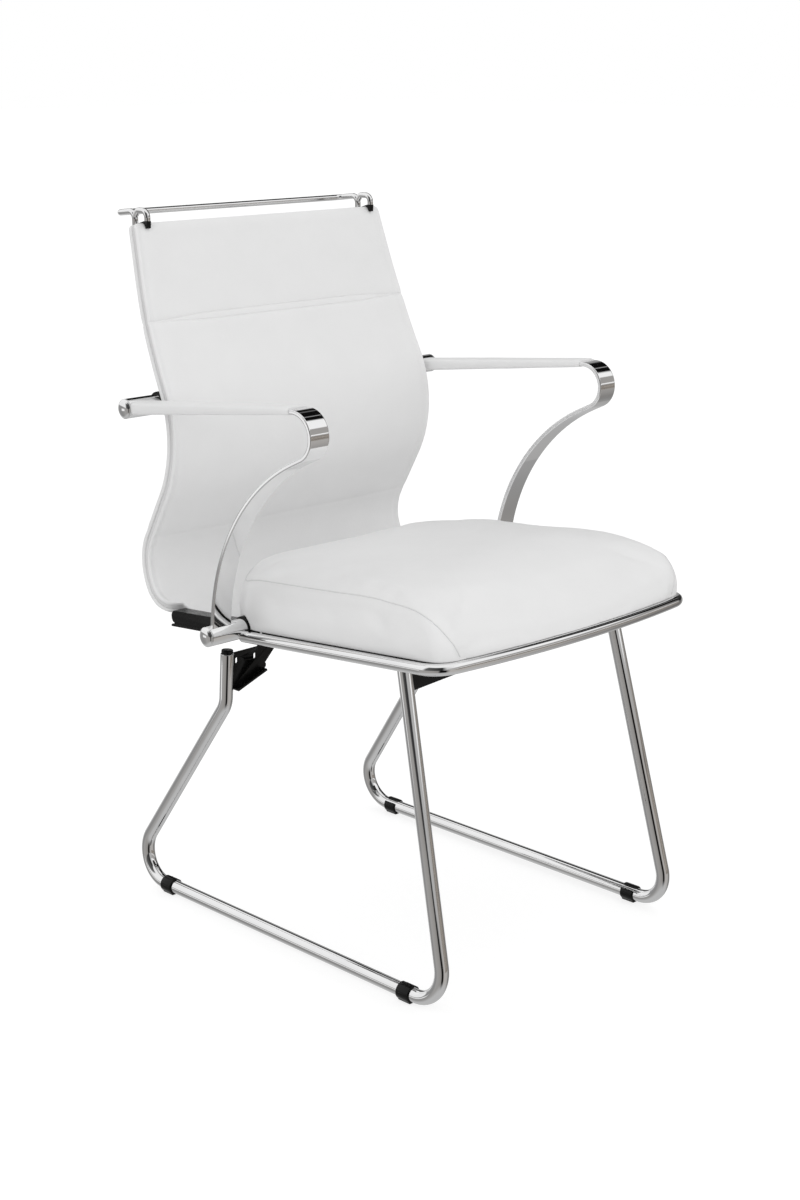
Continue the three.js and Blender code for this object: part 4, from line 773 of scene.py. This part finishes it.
def back_length_at(z):
    low, high = SEAT_RUN, BACK.length
    for _ in range(40):
        middle = (low + high) / 2
        low, high = (middle, high) if BACK.place(middle)[1] < z else (low, middle)
    return (low + high) / 2


SEAM_LOW = back_length_at(SEAM_LOW_Z)
SEAM_MIDDLE = back_length_at(SEAM_MIDDLE_Z)
CROWN_FACE = 2.4
CROWN_REVERSE = 1.2
BAND_INSET = 2.6
EDGE_ROLL_R = 2.9
# Soft dents beside the lower brackets: depth, distance from the middle, place along the back, two widths
DIMPLE = (2.6, 214, 140.0, 16, 11)


def back_stops():
    fine = []
    s = 0.0
    while s < BACK.length - TOP_ROUND:
        near = min(abs(s - SEAM_LOW), max(0.0, abs(s - SEAM_MIDDLE) - SEAM_PAIR_HALF))
        fine.append(s)
        s += 0.6 if near < 2.4 else (1.5 if abs(s - NECK_LEN - 3) < 9 else 4.0)
    fine += [BACK.length - TOP_ROUND * (1 - sin(radians(a))) for a in range(0, 91, 6)]
    return fine


def seam_groove(x, s, half):
    """Depth of the sewn seams at a point of the back."""
    edge = abs(x) / half
    gap = SEAM_PAIR_HALF * (1 - 0.85 * smooth_step((edge - 0.55) / 0.43))
    pucker = 1 + 0.25 * sin(x * 0.9) * noise.noise(Vector((x * 0.05, s * 0.02, 3)))
    depth = 0.0
    for line in (SEAM_LOW, SEAM_MIDDLE - gap, SEAM_MIDDLE + gap):
        away = abs(s - line)
        depth += 1.0 * bell(away, 0.9) + 0.7 * bell(away, 5.0)
    return depth * pucker


def back_face(x, s, half, way):
    """How far the padded face stands out from the middle of the back."""
    inside = half - abs(x)
    rolled = max(0.0, TOP_ROUND - (BACK.length - s)) / TOP_ROUND
    roll = (COVER_OUT - HALF_CORE) * (1 - sqrt(max(0.0, 1 - rolled * rolled)))
    crown = (CROWN_FACE if way < 0 else CROWN_REVERSE) * smooth_step(inside / 110)
    crown *= smooth_step((BACK.length - s) / 60)
    valley = 1.1 * bell(inside - 8.5, 4.5)
    wave = 0.55 * noise.noise(Vector((x * 0.012, s * 0.014, way * 5)))
    wave += 0.25 * noise.noise(Vector((x * 0.035, s * 0.03, way * 9)))
    depth, out, along, wide, high = DIMPLE
    dimple = depth * bell(abs(x) - out, wide) * bell(s - along, high)
    fade = smooth_step(inside / 12) * (1 - rolled)
    full = COVER_OUT + crown + wave * fade - (valley + seam_groove(x, s, half)) * (1 - rolled)
    full -= dimple * fade if way < 0 else 0
    keep = roll if way < 0 else roll / 2
    return max(full - keep, COVER_IN + 1.2)


def back_columns(half):
    inner = half - 3.4
    edge = [inner - d for d in (0, 1.2, 2.6, 4.2, 6, 8, 10, 12.5, 15.5, 19)]
    rest = [edge[-1] * (1 - k / 34) for k in range(1, 35)]
    return edge + rest


def make_cover(name, way, node):
    rings = []
    for s in back_stops():
        half = back_half_width(s)
        columns = back_columns(half)
        face = [(x, back_face(x, s, half, way)) for x in columns]
        deep = face[0][1] - COVER_IN
        radius = min(EDGE_ROLL_R, deep / 2)
        roll = []
        for k in range(9):
            angle = radians(-90 + 22.5 * k)
            out = COVER_IN + deep / 2 * (1 + sin(angle))
            roll.append((half - radius + radius * cos(angle), out))
        right = roll + face
        left = [(-x, back_face(-x, s, half, way)) for x in reversed(columns[:-1])]
        left += [(-x, n) for x, n in reversed(roll)]
        inner = [(-half * 0.6, COVER_IN), (0, COVER_IN), (half * 0.6, COVER_IN)]
        ring = right + left + inner
        rings.append([at(x, *BACK.beside(s, way * n)) for x, n in ring])
    obj = skin(name, rings, LEATHERETTE, 70)
    claim(obj, "leatherette", node)


def make_band():
    """The stiff core's covered edge, seen in the groove between the two skins."""
    rings = []
    for s in back_stops():
        half = back_half_width(s) - BAND_INSET
        section = rounded_box(half, -HALF_CORE, HALF_CORE, 1.2, 2)
        rings.append([at(x, *BACK.beside(s, n)) for x, n in section])
    obj = skin("back_core", rings, BAND, 50)
    claim(obj, "leatherette", "back_shell")


# Hanger rail and prongs: places from the middle of the back's top edge
CLIP_PLATE = 1.6
CLIP_GAP = 0.3
RAIL_FOOT_DOWN = 18.3
RAIL_KNEE_UP = 15.4
RAIL_BEND_R = 9.5
RAIL_REACH = (36.7, 11.1)
PRONG_FROM_UP = 8.9
PRONG_LEAN = 6
PRONG_UP = 16.5
PRONG_REACH = 25.6
PRONG_BENDS = (6, 9)
BOSS = (2.6, -5.2)


def make_hanger():
    _, top_z, _ = BACK.place(BACK.length)
    plate_y, _ = BACK.beside(BACK.length, COVER_OUT + CLIP_GAP + CLIP_PLATE)
    leg_y = plate_y + CLIP_GAP + WIRE_R
    half = [
        (-WIRE_X, leg_y, top_z - RAIL_FOOT_DOWN),
        (-WIRE_X, leg_y, top_z + RAIL_KNEE_UP),
        (-WIRE_X, leg_y + RAIL_REACH[0], top_z + RAIL_REACH[1]),
    ]
    other = [(-x, y, z) for x, y, z in reversed(half)]
    rail = tube("rail", bent(half + other, [RAIL_BEND_R] * 4, 4), WIRE_R, CHROME, 28)
    claim(rail, "chrome", "hanger_rail")
    foot_y = leg_y - PRONG_REACH
    _, boss_z = BACK.beside(BACK.length + BOSS[0], BOSS[1])
    for name, side in SIDES:
        x = side * WIRE_X
        corners = [
            (x, leg_y, top_z + PRONG_FROM_UP), (x, leg_y - PRONG_LEAN, top_z + PRONG_UP),
            (x, foot_y, top_z + PRONG_UP), (x, foot_y, boss_z + CLIP_GAP),
        ]
        prong = tube(f"prong_{name}", bent(corners, PRONG_BENDS, 5), WIRE_R - 0.05, CHROME, 28)
        claim(prong, "chrome", f"hanger_prong_{name}")


# Seat cushion, in the hoop's plane
CUSHION_HALF = 228
CUSHION_FRONT = -4
CUSHION_BOW = 16
CUSHION_REAR = 427
FRONT_CORNER_R = 27
REAR_CORNER_R = 104
CUSHION_SKIRT = 9
CUSHION_UNDER = 7.7
CUSHION_CENTRE = 215
SEAM_SHARE = 0.962
# The seam rises from the lip in front, is fullest at a place behind it, and sinks at the rear corners
SEAM_LIP = 19
SEAM_RISE = 57
SEAM_REACH = 43
SEAM_FULL = (2.5, 120, 60)
REAR_DROOP = 13
FRONT_FULL = 3
# Start and length of the slopes to the sides, to the rear and to the front
SIDE_SLOPE = (140, 80)
REAR_SLOPE = (325, 85)
FRONT_SLOPE = (90, 60)
SEAM_DROP = 38
SEAM_DROP_FROM = 0.2
CROWN = 15
CROWN_POWER = 3.2
SHRINK = 0.006
ROD_SEAT = (359.7, 7.95)
EYE_CLEAR = 15.6
STEP_UP = 15.3
VOXEL = 0.0045
PRESSURE = 3.0
PUFF_CAP = 0.0045
PUFF_FRAMES = 20
CORD_R = 0.75
CORD_PROUD = 0.25
# Depth and width of the stitched crease, and of the soft fold round it, which the ends of the seam deepen
CREASE = (0.9, 2.2)
FOLD = (0.9, 9.0)
FOLD_REAR = 2.2
FOLD_FRONT = 0.9
FOLD_REACH = 26


def seam_height(y):
    front = CUSHION_FRONT - CUSHION_BOW
    full, middle, width = SEAM_FULL
    rise = SEAM_RISE * (1 - math.exp(-max(0.0, y - front) / SEAM_REACH))
    return SEAM_LIP + rise + full * bell(y - middle, width)


def droop(x, y):
    """How far the cushion's rear corners sink below its edges, less the fullness of the front ones."""
    side = smooth_step((abs(x) - SIDE_SLOPE[0]) / SIDE_SLOPE[1])
    rear = smooth_step((y - REAR_SLOPE[0]) / REAR_SLOPE[1])
    front = smooth_step((FRONT_SLOPE[0] - y) / FRONT_SLOPE[1])
    return side * (REAR_DROOP * rear - FRONT_FULL * front)


def front_corner(angle):
    """A point of the plan's left front corner, from its front at 0 to its side at a quarter turn."""
    r = FRONT_CORNER_R
    return CUSHION_HALF - r + r * sin(angle), CUSHION_FRONT + r * (1 - cos(angle))


def rear_corner(angle):
    """A point of the plan's left rear corner, from its side at 0 to its rear at a quarter turn."""
    r = REAR_CORNER_R
    return CUSHION_HALF - r * (1 - cos(angle)), CUSHION_REAR - r + r * sin(angle)


def cushion_outline():
    front_x = CUSHION_HALF - FRONT_CORNER_R
    half = []
    for i in range(13):
        x = front_x * i / 12
        half.append((x, CUSHION_FRONT - CUSHION_BOW * (1 - (x / front_x) ** 2)))
    half += [front_corner(pi / 2 * k / 12) for k in range(1, 13)]
    low, high = CUSHION_FRONT + FRONT_CORNER_R, CUSHION_REAR - REAR_CORNER_R
    half += [(CUSHION_HALF, low + (high - low) * k / 24) for k in range(1, 25)]
    half += [rear_corner(pi / 2 * k / 16) for k in range(1, 17)]
    half += [((CUSHION_HALF - REAR_CORNER_R) * (1 - k / 10), CUSHION_REAR) for k in range(1, 11)]
    return half + [(-x, y) for x, y in reversed(half[1:-1])]


def wall_share(t):
    """Plan size at a share of the way from the underside to the seam."""
    return 0.974 + 0.026 * sin(pi * (t * 0.72 + 0.2))


def cushion_rings():
    """Rings from the underside up the wall to the seam, and on to the middle of the top."""
    outline = cushion_outline()

    def ring(share, height):
        made = []
        for x, y in outline:
            py = CUSHION_CENTRE + (y - CUSHION_CENTRE) * share
            z = height(py)
            rise = max(z - CUSHION_UNDER, 0) / (seam_height(py) - CUSHION_UNDER)
            made.append(Vector((x * share, py, z - droop(x * share, py) * min(rise, 1))))
        return made

    def wall(t):
        return lambda y: CUSHION_UNDER + (seam_height(y) - CUSHION_UNDER) * t

    def top(share):
        return lambda y: seam_height(y) + CROWN * (1 - share**CROWN_POWER) * (1 - SHRINK * 8)

    base = CUSHION_UNDER - CUSHION_SKIRT
    rings = [ring(share, lambda _: base) for share in (0.5, 0.9, wall_share(0) - SHRINK)]
    rings += [ring(wall_share(k / 8) - SHRINK, wall(k / 8)) for k in range(9)]
    for k in range(1, 17):
        share = (SEAM_SHARE - SHRINK) * (1 - (k / 16) ** 1.3 * 0.97)
        rings.append(ring(share, top(share)))
    return rings


def under_at(y):
    """Underside: on the board and the hoop, over the eyes round the cross tube, then on the brackets."""
    floor = CUSHION_UNDER
    away = abs(y - ROD_SEAT[0])
    if away < EYE_CLEAR:
        floor = max(floor, ROD_SEAT[1] + sqrt(EYE_CLEAR**2 - away**2))
    if y > ROD_SEAT[0]:
        floor = max(floor, STEP_UP)
    return floor


def reshape(obj, kind, **settings):
    """Add a modifier and put its result in the mesh."""
    add_modifier(obj, kind, **settings)
    graph = bpy.context.evaluated_depsgraph_get()
    made = bpy.data.meshes.new_from_object(obj.evaluated_get(graph))
    old = obj.data
    obj.modifiers.clear()
    obj.data = made
    bpy.data.meshes.remove(old)


def puff(obj, pinned_below):
    """Cloth under pressure, pinned below a height; no point moves further than the cap."""
    group = obj.vertex_groups.new(name="pin")
    rest = [v.co.copy() for v in obj.data.vertices]
    group.add([i for i, co in enumerate(rest) if co.z < pinned_below], 1.0, "REPLACE")
    modifier = obj.modifiers.new("cloth", "CLOTH")
    set_all(modifier.settings, quality=5, mass=0.3, bending_stiffness=0.5)
    set_all(modifier.settings, tension_stiffness=15, compression_stiffness=15, shear_stiffness=5)
    set_all(modifier.settings, vertex_group_mass="pin", use_pressure=True, uniform_pressure_force=PRESSURE)
    modifier.settings.effector_weights.gravity = 0
    modifier.collision_settings.use_collision = False
    set_all(modifier.point_cache, frame_start=1, frame_end=PUFF_FRAMES)
    scene = bpy.context.scene
    for f in range(1, PUFF_FRAMES + 1):
        scene.frame_set(f)
    graph = bpy.context.evaluated_depsgraph_get()
    moved = [v.co.copy() for v in obj.evaluated_get(graph).data.vertices]
    obj.modifiers.clear()
    for vertex, a, b in zip(obj.data.vertices, rest, moved):
        shift = b - a
        if shift.length > PUFF_CAP:
            shift *= PUFF_CAP / shift.length
        vertex.co = a + shift
    scene.frame_set(1)
    obj.vertex_groups.clear()


def seam_route(side):
    """The seam between the top and a side panel, from the rear to the hoop in front."""
    x = CUSHION_HALF - REAR_CORNER_R
    points = [(x * k / 10, CUSHION_REAR, 0) for k in range(11)]
    points += [(*rear_corner(pi / 2 * (1 - k / 16)), 0) for k in range(1, 17)]
    low, high = CUSHION_FRONT + FRONT_CORNER_R, CUSHION_REAR - REAR_CORNER_R
    points += [(CUSHION_HALF, high - (high - low) * k / 30, 0) for k in range(1, 31)]
    for k in range(1, 17):
        turned_share = max(0, k / 16 - SEAM_DROP_FROM)
        drop = SEAM_DROP * turned_share**1.5 / (1 - SEAM_DROP_FROM) ** 1.5
        points.append((*front_corner(pi / 2 * (1 - k / 16)), drop))
    route = []
    for x, y, drop in points:
        py = CUSHION_CENTRE + (y - CUSHION_CENTRE) * SEAM_SHARE
        z = seam_height(py) - droop(x * SEAM_SHARE, py) - drop
        route.append(Vector((side * x * SEAM_SHARE, py, max(z, CUSHION_UNDER + 1))))
    return route


class Route:
    """A route that gives the distance of any point from it."""

    def __init__(self, points):
        self.points = points
        self.tree = KDTree(len(points))
        for i, point in enumerate(points):
            self.tree.insert(point, i)
        self.tree.balance()

    def distance(self, point):
        _, around, _ = self.tree.find(point)
        best = math.inf
        for i in range(max(around - 1, 0), min(around + 1, len(self.points) - 1)):
            a, b = self.points[i], self.points[i + 1]
            line = b - a
            t = min(1.0, max(0.0, (point - a).dot(line) / line.length_squared))
            best = min(best, (a + line * t - point).length)
        return best


def draw_in_seams(obj, routes):
    """Creases along the seams, deeper at the rear and at the foot in front, and a flat underside."""
    for vertex in obj.data.vertices:
        co = vertex.co / MM
        away = routes[1 if co.x >= 0 else -1].distance(co)
        if away < FOLD_REACH:
            fold = FOLD[0] + FOLD_REAR * smooth_step((co.y - 290) / 70)
            fold += FOLD_FRONT * smooth_step((20 - co.y) / 15)
            depth = CREASE[0] * bell(away, CREASE[1]) + fold * bell(away, FOLD[1])
            vertex.co -= vertex.normal * (depth * MM)
        co = vertex.co / MM
        floor = under_at(co.y)
        if co.z < floor:
            vertex.co.z = floor * MM


def lay_cord(obj, route):
    """The route's points, each moved onto the surface."""
    mesh = obj.data
    tree = BVHTree.FromPolygons([v.co for v in mesh.vertices], [p.vertices for p in mesh.polygons])
    points = []
    for point in route.points:
        hit, normal, _, _ = tree.find_nearest(point * MM)
        points.append(hit / MM + normal * CORD_PROUD)
    return points


def make_cushion():
    obj = skin("cushion", [[v * MM for v in ring] for ring in cushion_rings()], LEATHERETTE)
    voxel = VOXEL
    reshape(obj, "REMESH", mode="VOXEL", voxel_size=voxel, use_smooth_shade=True)
    reshape(obj, "SMOOTH", factor=0.5, iterations=6)
    puff(obj, (CUSHION_UNDER + 1) * MM)
    reshape(obj, "SMOOTH", factor=0.5, iterations=8)
    reshape(obj, "SUBSURF", levels=1, render_levels=1)
    routes = {side: Route(seam_route(side)) for _, side in SIDES}
    draw_in_seams(obj, routes)
    cords = {name: lay_cord(obj, routes[side]) for name, side in SIDES}
    for vertex in obj.data.vertices:
        vertex.co = seat_at(*(vertex.co / MM))
    coat(obj, LEATHERETTE)
    obj.data.update()
    claim(obj, "leatherette", "seat_cushion")
    for name, points in cords.items():
        world = [seat_at(*p) / MM + Vector((0, CENTRE_Y, 0)) for p in points]
        cord = tube(f"cushion_seam_{name}", world, CORD_R, BAND, 10, (0.5, 0.5))
        claim(cord, "leatherette")


# Carried over CAD nodes
WELD_GAP = 0.00001


def dress(node, material, bevel):
    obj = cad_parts[node]
    coat(obj, material)
    add_modifier(obj, "WELD", merge_threshold=WELD_GAP)
    edge = add_modifier(obj, "BEVEL", width=bevel * MM, segments=3, harden_normals=True)
    set_all(edge, limit_method="ANGLE", angle_limit=radians(38), use_clamp_overlap=True)


def dress_all():
    dress("front_cross_plate", STEEL, 0.5)
    dress("rear_cross_plate", STEEL, 0.5)
    dress("seat_board", PLYWOOD, 0.8)
    for name, _ in SIDES:
        dress(f"side_bracket_{name}", PLASTIC, 1.0)
        dress(f"back_clamp_{name}", PLASTIC, 0.6)
        dress(f"hanger_clip_{name}", PLASTIC, 0.5)
        dress(f"seat_rail_{name}", STEEL, 0.5)
        dress(f"clamp_screw_{name}", ZINC, 0.2)
        dress(f"clip_screw_{name}", ZINC, 0.1)
        for end in ("front", "rear"):
            dress(f"hoop_tab_{end}_{name}", CHROME, 0.4)
            dress(f"tab_screw_{end}_{name}", ZINC, 0.2)
            dress(f"bracket_screw_{end}_{name}", ZINC, 0.2)
            dress(f"seat_bolt_{end}_{name}", ZINC, 0.3)


# Floor, backdrop and lights
FLOOR_HALF = 30.0
FLOOR_BOUNCE = 0.78
FLOOR_SEEN = 0.34
FLOOR_GLOW = 0.77


def make_floor():
    """White where it is seen, with the object's shadow, and a plain pale surface for all other light."""
    h = FLOOR_HALF
    material = bpy.data.materials.new("floor")
    material.use_nodes = True
    nodes = Nodes(material.node_tree)
    output = nodes.new("ShaderNodeOutputMaterial")
    rays = nodes.new("ShaderNodeLightPath").outputs
    plain = nodes.new("ShaderNodeBsdfDiffuse", Color=grey(FLOOR_BOUNCE))
    shade = nodes.new("ShaderNodeBsdfDiffuse", Color=grey(FLOOR_SEEN))
    glow = nodes.new("ShaderNodeEmission", Color=grey(1.0), Strength=FLOOR_GLOW)
    bright = nodes.new("ShaderNodeAddShader")
    nodes.set(bright, 0, shade.outputs[0])
    nodes.set(bright, 1, glow.outputs[0])
    straight = nodes.maths("MAXIMUM", rays["Is Camera Ray"], rays["Is Glossy Ray"])
    straight = nodes.maths("MAXIMUM", straight, rays["Is Transmission Ray"])
    nodes.set(output, "Surface", nodes.mix_shaders(straight, plain.outputs[0], bright.outputs[0]))
    floor = make_mesh("floor", [(-h, -h, 0), (h, -h, 0), (h, h, 0), (-h, h, 0)], [(0, 1, 2, 3)], material)
    floor.visible_glossy = False


# Cards round the chair, seen in its reflections alone: (degrees from +X towards +Y, brightness, warmth)
LOW_CARDS = (
    (0, 0.30, 0.03), (30, 0.44, 0.0), (45, 0.62, 0.0), (84, 0.60, 0.0), (98, 0.30, 0.0),
    (128, 0.27, 0.01), (150, 0.36, 0.02), (200, 0.32, 0.04), (219, 0.26, 0.04), (226, 0.004, 0.0),
    (246, 0.004, 0.0), (253, 0.24, 0.05), (262, 0.46, 0.04), (310, 0.44, 0.04), (326, 0.30, 0.03),
    (345, 0.16, 0.03),
)
LEVEL_CARDS = (
    (0, 0.02, 0.0), (24, 0.04, 0.0), (32, 0.32, 0.0), (47, 0.30, 0.0), (52, 0.006, 0.0),
    (66, 0.01, 0.0), (74, 0.92, 0.0), (160, 0.90, 0.0), (172, 0.12, 0.0), (232, 0.02, 0.0),
    (248, 0.50, 0.0), (290, 0.38, 0.03), (336, 0.34, 0.03), (346, 0.02, 0.0),
)
HIGH_CARDS = (
    (0, 0.30, 0.0), (3, 0.30, 0.0), (6, 0.004, 0.0), (30, 0.004, 0.0), (33, 0.18, 0.0),
    (37, 0.004, 0.0), (59, 0.004, 0.0), (64, 0.95, 0.0), (160, 0.95, 0.0), (172, 0.12, 0.0),
    (232, 0.02, 0.0), (250, 0.7, 0.0), (290, 0.97, 0.0), (337, 0.97, 0.0), (343, 0.004, 0.0),
    (356, 0.004, 0.0),
)


def card_ramp(nodes, turn, cards):
    node = nodes.new("ShaderNodeValToRGB", Fac=turn)
    band = node.color_ramp
    while len(band.elements) < len(cards):
        band.elements.new(0.5)
    for element, (degrees, value, warm) in zip(band.elements, cards):
        element.position = degrees / 360
        element.color = grey(value, warm)
    return node.outputs["Color"]


def step_up(nodes, value, start, end):
    node = nodes.new("ShaderNodeMapRange", {"interpolation_type": "SMOOTHSTEP"}, Value=value)
    nodes.set(node, "From Min", start)
    nodes.set(node, "From Max", end)
    return node.outputs["Result"]


def between(nodes, value, stops):
    """0 outside four rising stops, 1 between the inner two."""
    rise = step_up(nodes, value, stops[0], stops[1])
    fall = step_up(nodes, value, stops[3], stops[2])
    return nodes.maths("MULTIPLY", rise, fall)


def plain_colour(nodes, value):
    colour = nodes.new("ShaderNodeRGB").outputs[0]
    colour.default_value = grey(value)
    return colour


def directions(nodes):
    """Height of a direction, from -1 to 1, and its turn from +X towards +Y, from 0 to 1."""
    way = nodes.new("ShaderNodeTexCoord").outputs["Generated"]
    parts = nodes.new("ShaderNodeSeparateXYZ", Vector=way)
    angle = nodes.maths("ARCTAN2", parts.outputs["Y"], parts.outputs["X"])
    turn = nodes.maths("FRACT", nodes.maths("DIVIDE", angle, 2 * pi))
    return parts.outputs["Z"], turn


# Parts of the studio: four stops of the turn in degrees, or of the height from -1 to 1
AHEAD = (270, 290, 335, 345)
BOARDS_HEIGHT = (-0.24, -0.21, 0.0, 0.03)
LINE_HEIGHT = (0.045, 0.055, 0.10, 0.11)
PATCH_TURN = (124, 130, 146, 150)
PATCH_HEIGHT = (-0.25, -0.23, -0.13, -0.11)
# Heights between which one row of cards gives way to the next
UNDER_TO_LOW = (-0.85, -0.5)
LOW_TO_LEVEL = (-0.02, 0.03)
LEVEL_TO_HIGH = (0.39, 0.43)
HIGH_TO_OVERHEAD = (0.76, 0.84)


def turn_between(nodes, turned, stops):
    return between(nodes, turned, [degrees / 360 for degrees in stops])


def studio_colour(nodes, height, turned):
    """Colour of the studio in each direction, as the chrome shows it."""
    ahead = turn_between(nodes, turned, AHEAD)
    # Low down in front of the chair: floor boards
    boards = nodes.new("ShaderNodeTexNoise", {"noise_dimensions": "1D"}, W=height, Scale=46.0, Detail=1.0)
    striped = ramp(nodes, boards.outputs["Fac"], grey(0.12, 0.12), grey(0.40, 0.10), 0.42, 0.58)
    mask = nodes.maths("MULTIPLY", between(nodes, height, BOARDS_HEIGHT), ahead)
    low = nodes.mix(mask, card_ramp(nodes, turned, LOW_CARDS), striped)
    # A bright patch of floor off the near side
    patch_turn = turn_between(nodes, turned, PATCH_TURN)
    patch = nodes.maths("MULTIPLY", between(nodes, height, PATCH_HEIGHT), patch_turn)
    low = nodes.mix(patch, low, plain_colour(nodes, 0.93))
    # A thin bright line ahead, just above the floor
    line = nodes.maths("MULTIPLY", between(nodes, height, LINE_HEIGHT), ahead)
    level = nodes.mix(line, card_ramp(nodes, turned, LEVEL_CARDS), plain_colour(nodes, 0.97))
    both = nodes.mix(step_up(nodes, height, *UNDER_TO_LOW), plain_colour(nodes, 0.52), low)
    both = nodes.mix(step_up(nodes, height, *LOW_TO_LEVEL), both, level)
    both = nodes.mix(step_up(nodes, height, *LEVEL_TO_HIGH), both, card_ramp(nodes, turned, HIGH_CARDS))
    return nodes.mix(step_up(nodes, height, *HIGH_TO_OVERHEAD), both, plain_colour(nodes, 0.9))


# Soft light from all round, weaker from behind: (degrees, brightness, warmth)
AMBIENT_CARDS = (
    (0, 0.95, 0.0), (60, 0.80, 0.0), (95, 0.50, 0.0), (160, 0.50, 0.0), (190, 0.90, 0.0), (230, 0.95, 0.0),
)


def make_world():
    world = bpy.data.worlds.new("studio")
    bpy.context.scene.world = world
    world.use_nodes = True
    nodes = Nodes(world.node_tree)
    output = nodes.new("ShaderNodeOutputWorld")
    rays = nodes.new("ShaderNodeLightPath").outputs
    height, turned = directions(nodes)
    above = step_up(nodes, height, 0.35, 0.75)
    soft = nodes.mix(above, card_ramp(nodes, turned, AMBIENT_CARDS), plain_colour(nodes, 0.93))
    ambient = nodes.new("ShaderNodeBackground", Color=soft, Strength=1.0)
    studio = nodes.new("ShaderNodeBackground", Color=studio_colour(nodes, height, turned), Strength=1.0)
    white = nodes.new("ShaderNodeBackground", Color=grey(1.0), Strength=1.0)
    unseen = nodes.mix_shaders(rays["Is Glossy Ray"], ambient.outputs[0], studio.outputs[0])
    nodes.set(output, "Surface", nodes.mix_shaders(rays["Is Camera Ray"], unseen, white.outputs[0]))


# Lamps in metres and watts: name, place, target, size, power
LAMPS = (
    ("key", (-2.6, -1.5, 1.3), (0, 0, 0.5), 2.4, 9),
    ("fill", (1.2, -2.8, 1.2), (0, 0.1, 0.5), 2.0, 1),
    ("rear", (1.6, 2.6, 2.6), (0, 0, 0.6), 2.0, 3),
)


def make_lamp(name, place, target, size, power):
    data = bpy.data.lights.new(name, "AREA")
    set_all(data, shape="DISK", size=size, energy=power)
    lamp = new_object(name, data)
    lamp.location = place
    lamp.rotation_mode = "QUATERNION"
    lamp.rotation_quaternion = (Vector(target) - Vector(place)).to_track_quat("-Z", "Y")
    lamp.visible_glossy = False


make_camera()
for side_name, side_way in SIDES:
    make_sled(side_name, side_way)
    for glide_end in GLIDES:
        make_glide(glide_end, side_name, side_way)
    make_arm(side_name, side_way)
    make_pad(side_name, side_way)
make_rod("lower", LOWER_ROD, LOWER_HALF)
make_rod("upper", UPPER_ROD, UPPER_HALF)
make_hoop()
make_cover("back_face", -1, "back_front_cover")
make_cover("back_reverse", 1, "back_rear_cover")
make_band()
make_hanger()
make_cushion()
dress_all()
make_floor()
make_world()
for lamp_values in LAMPS:
    make_lamp(*lamp_values)

bpy.context.scene.view_settings.view_transform = "Standard"
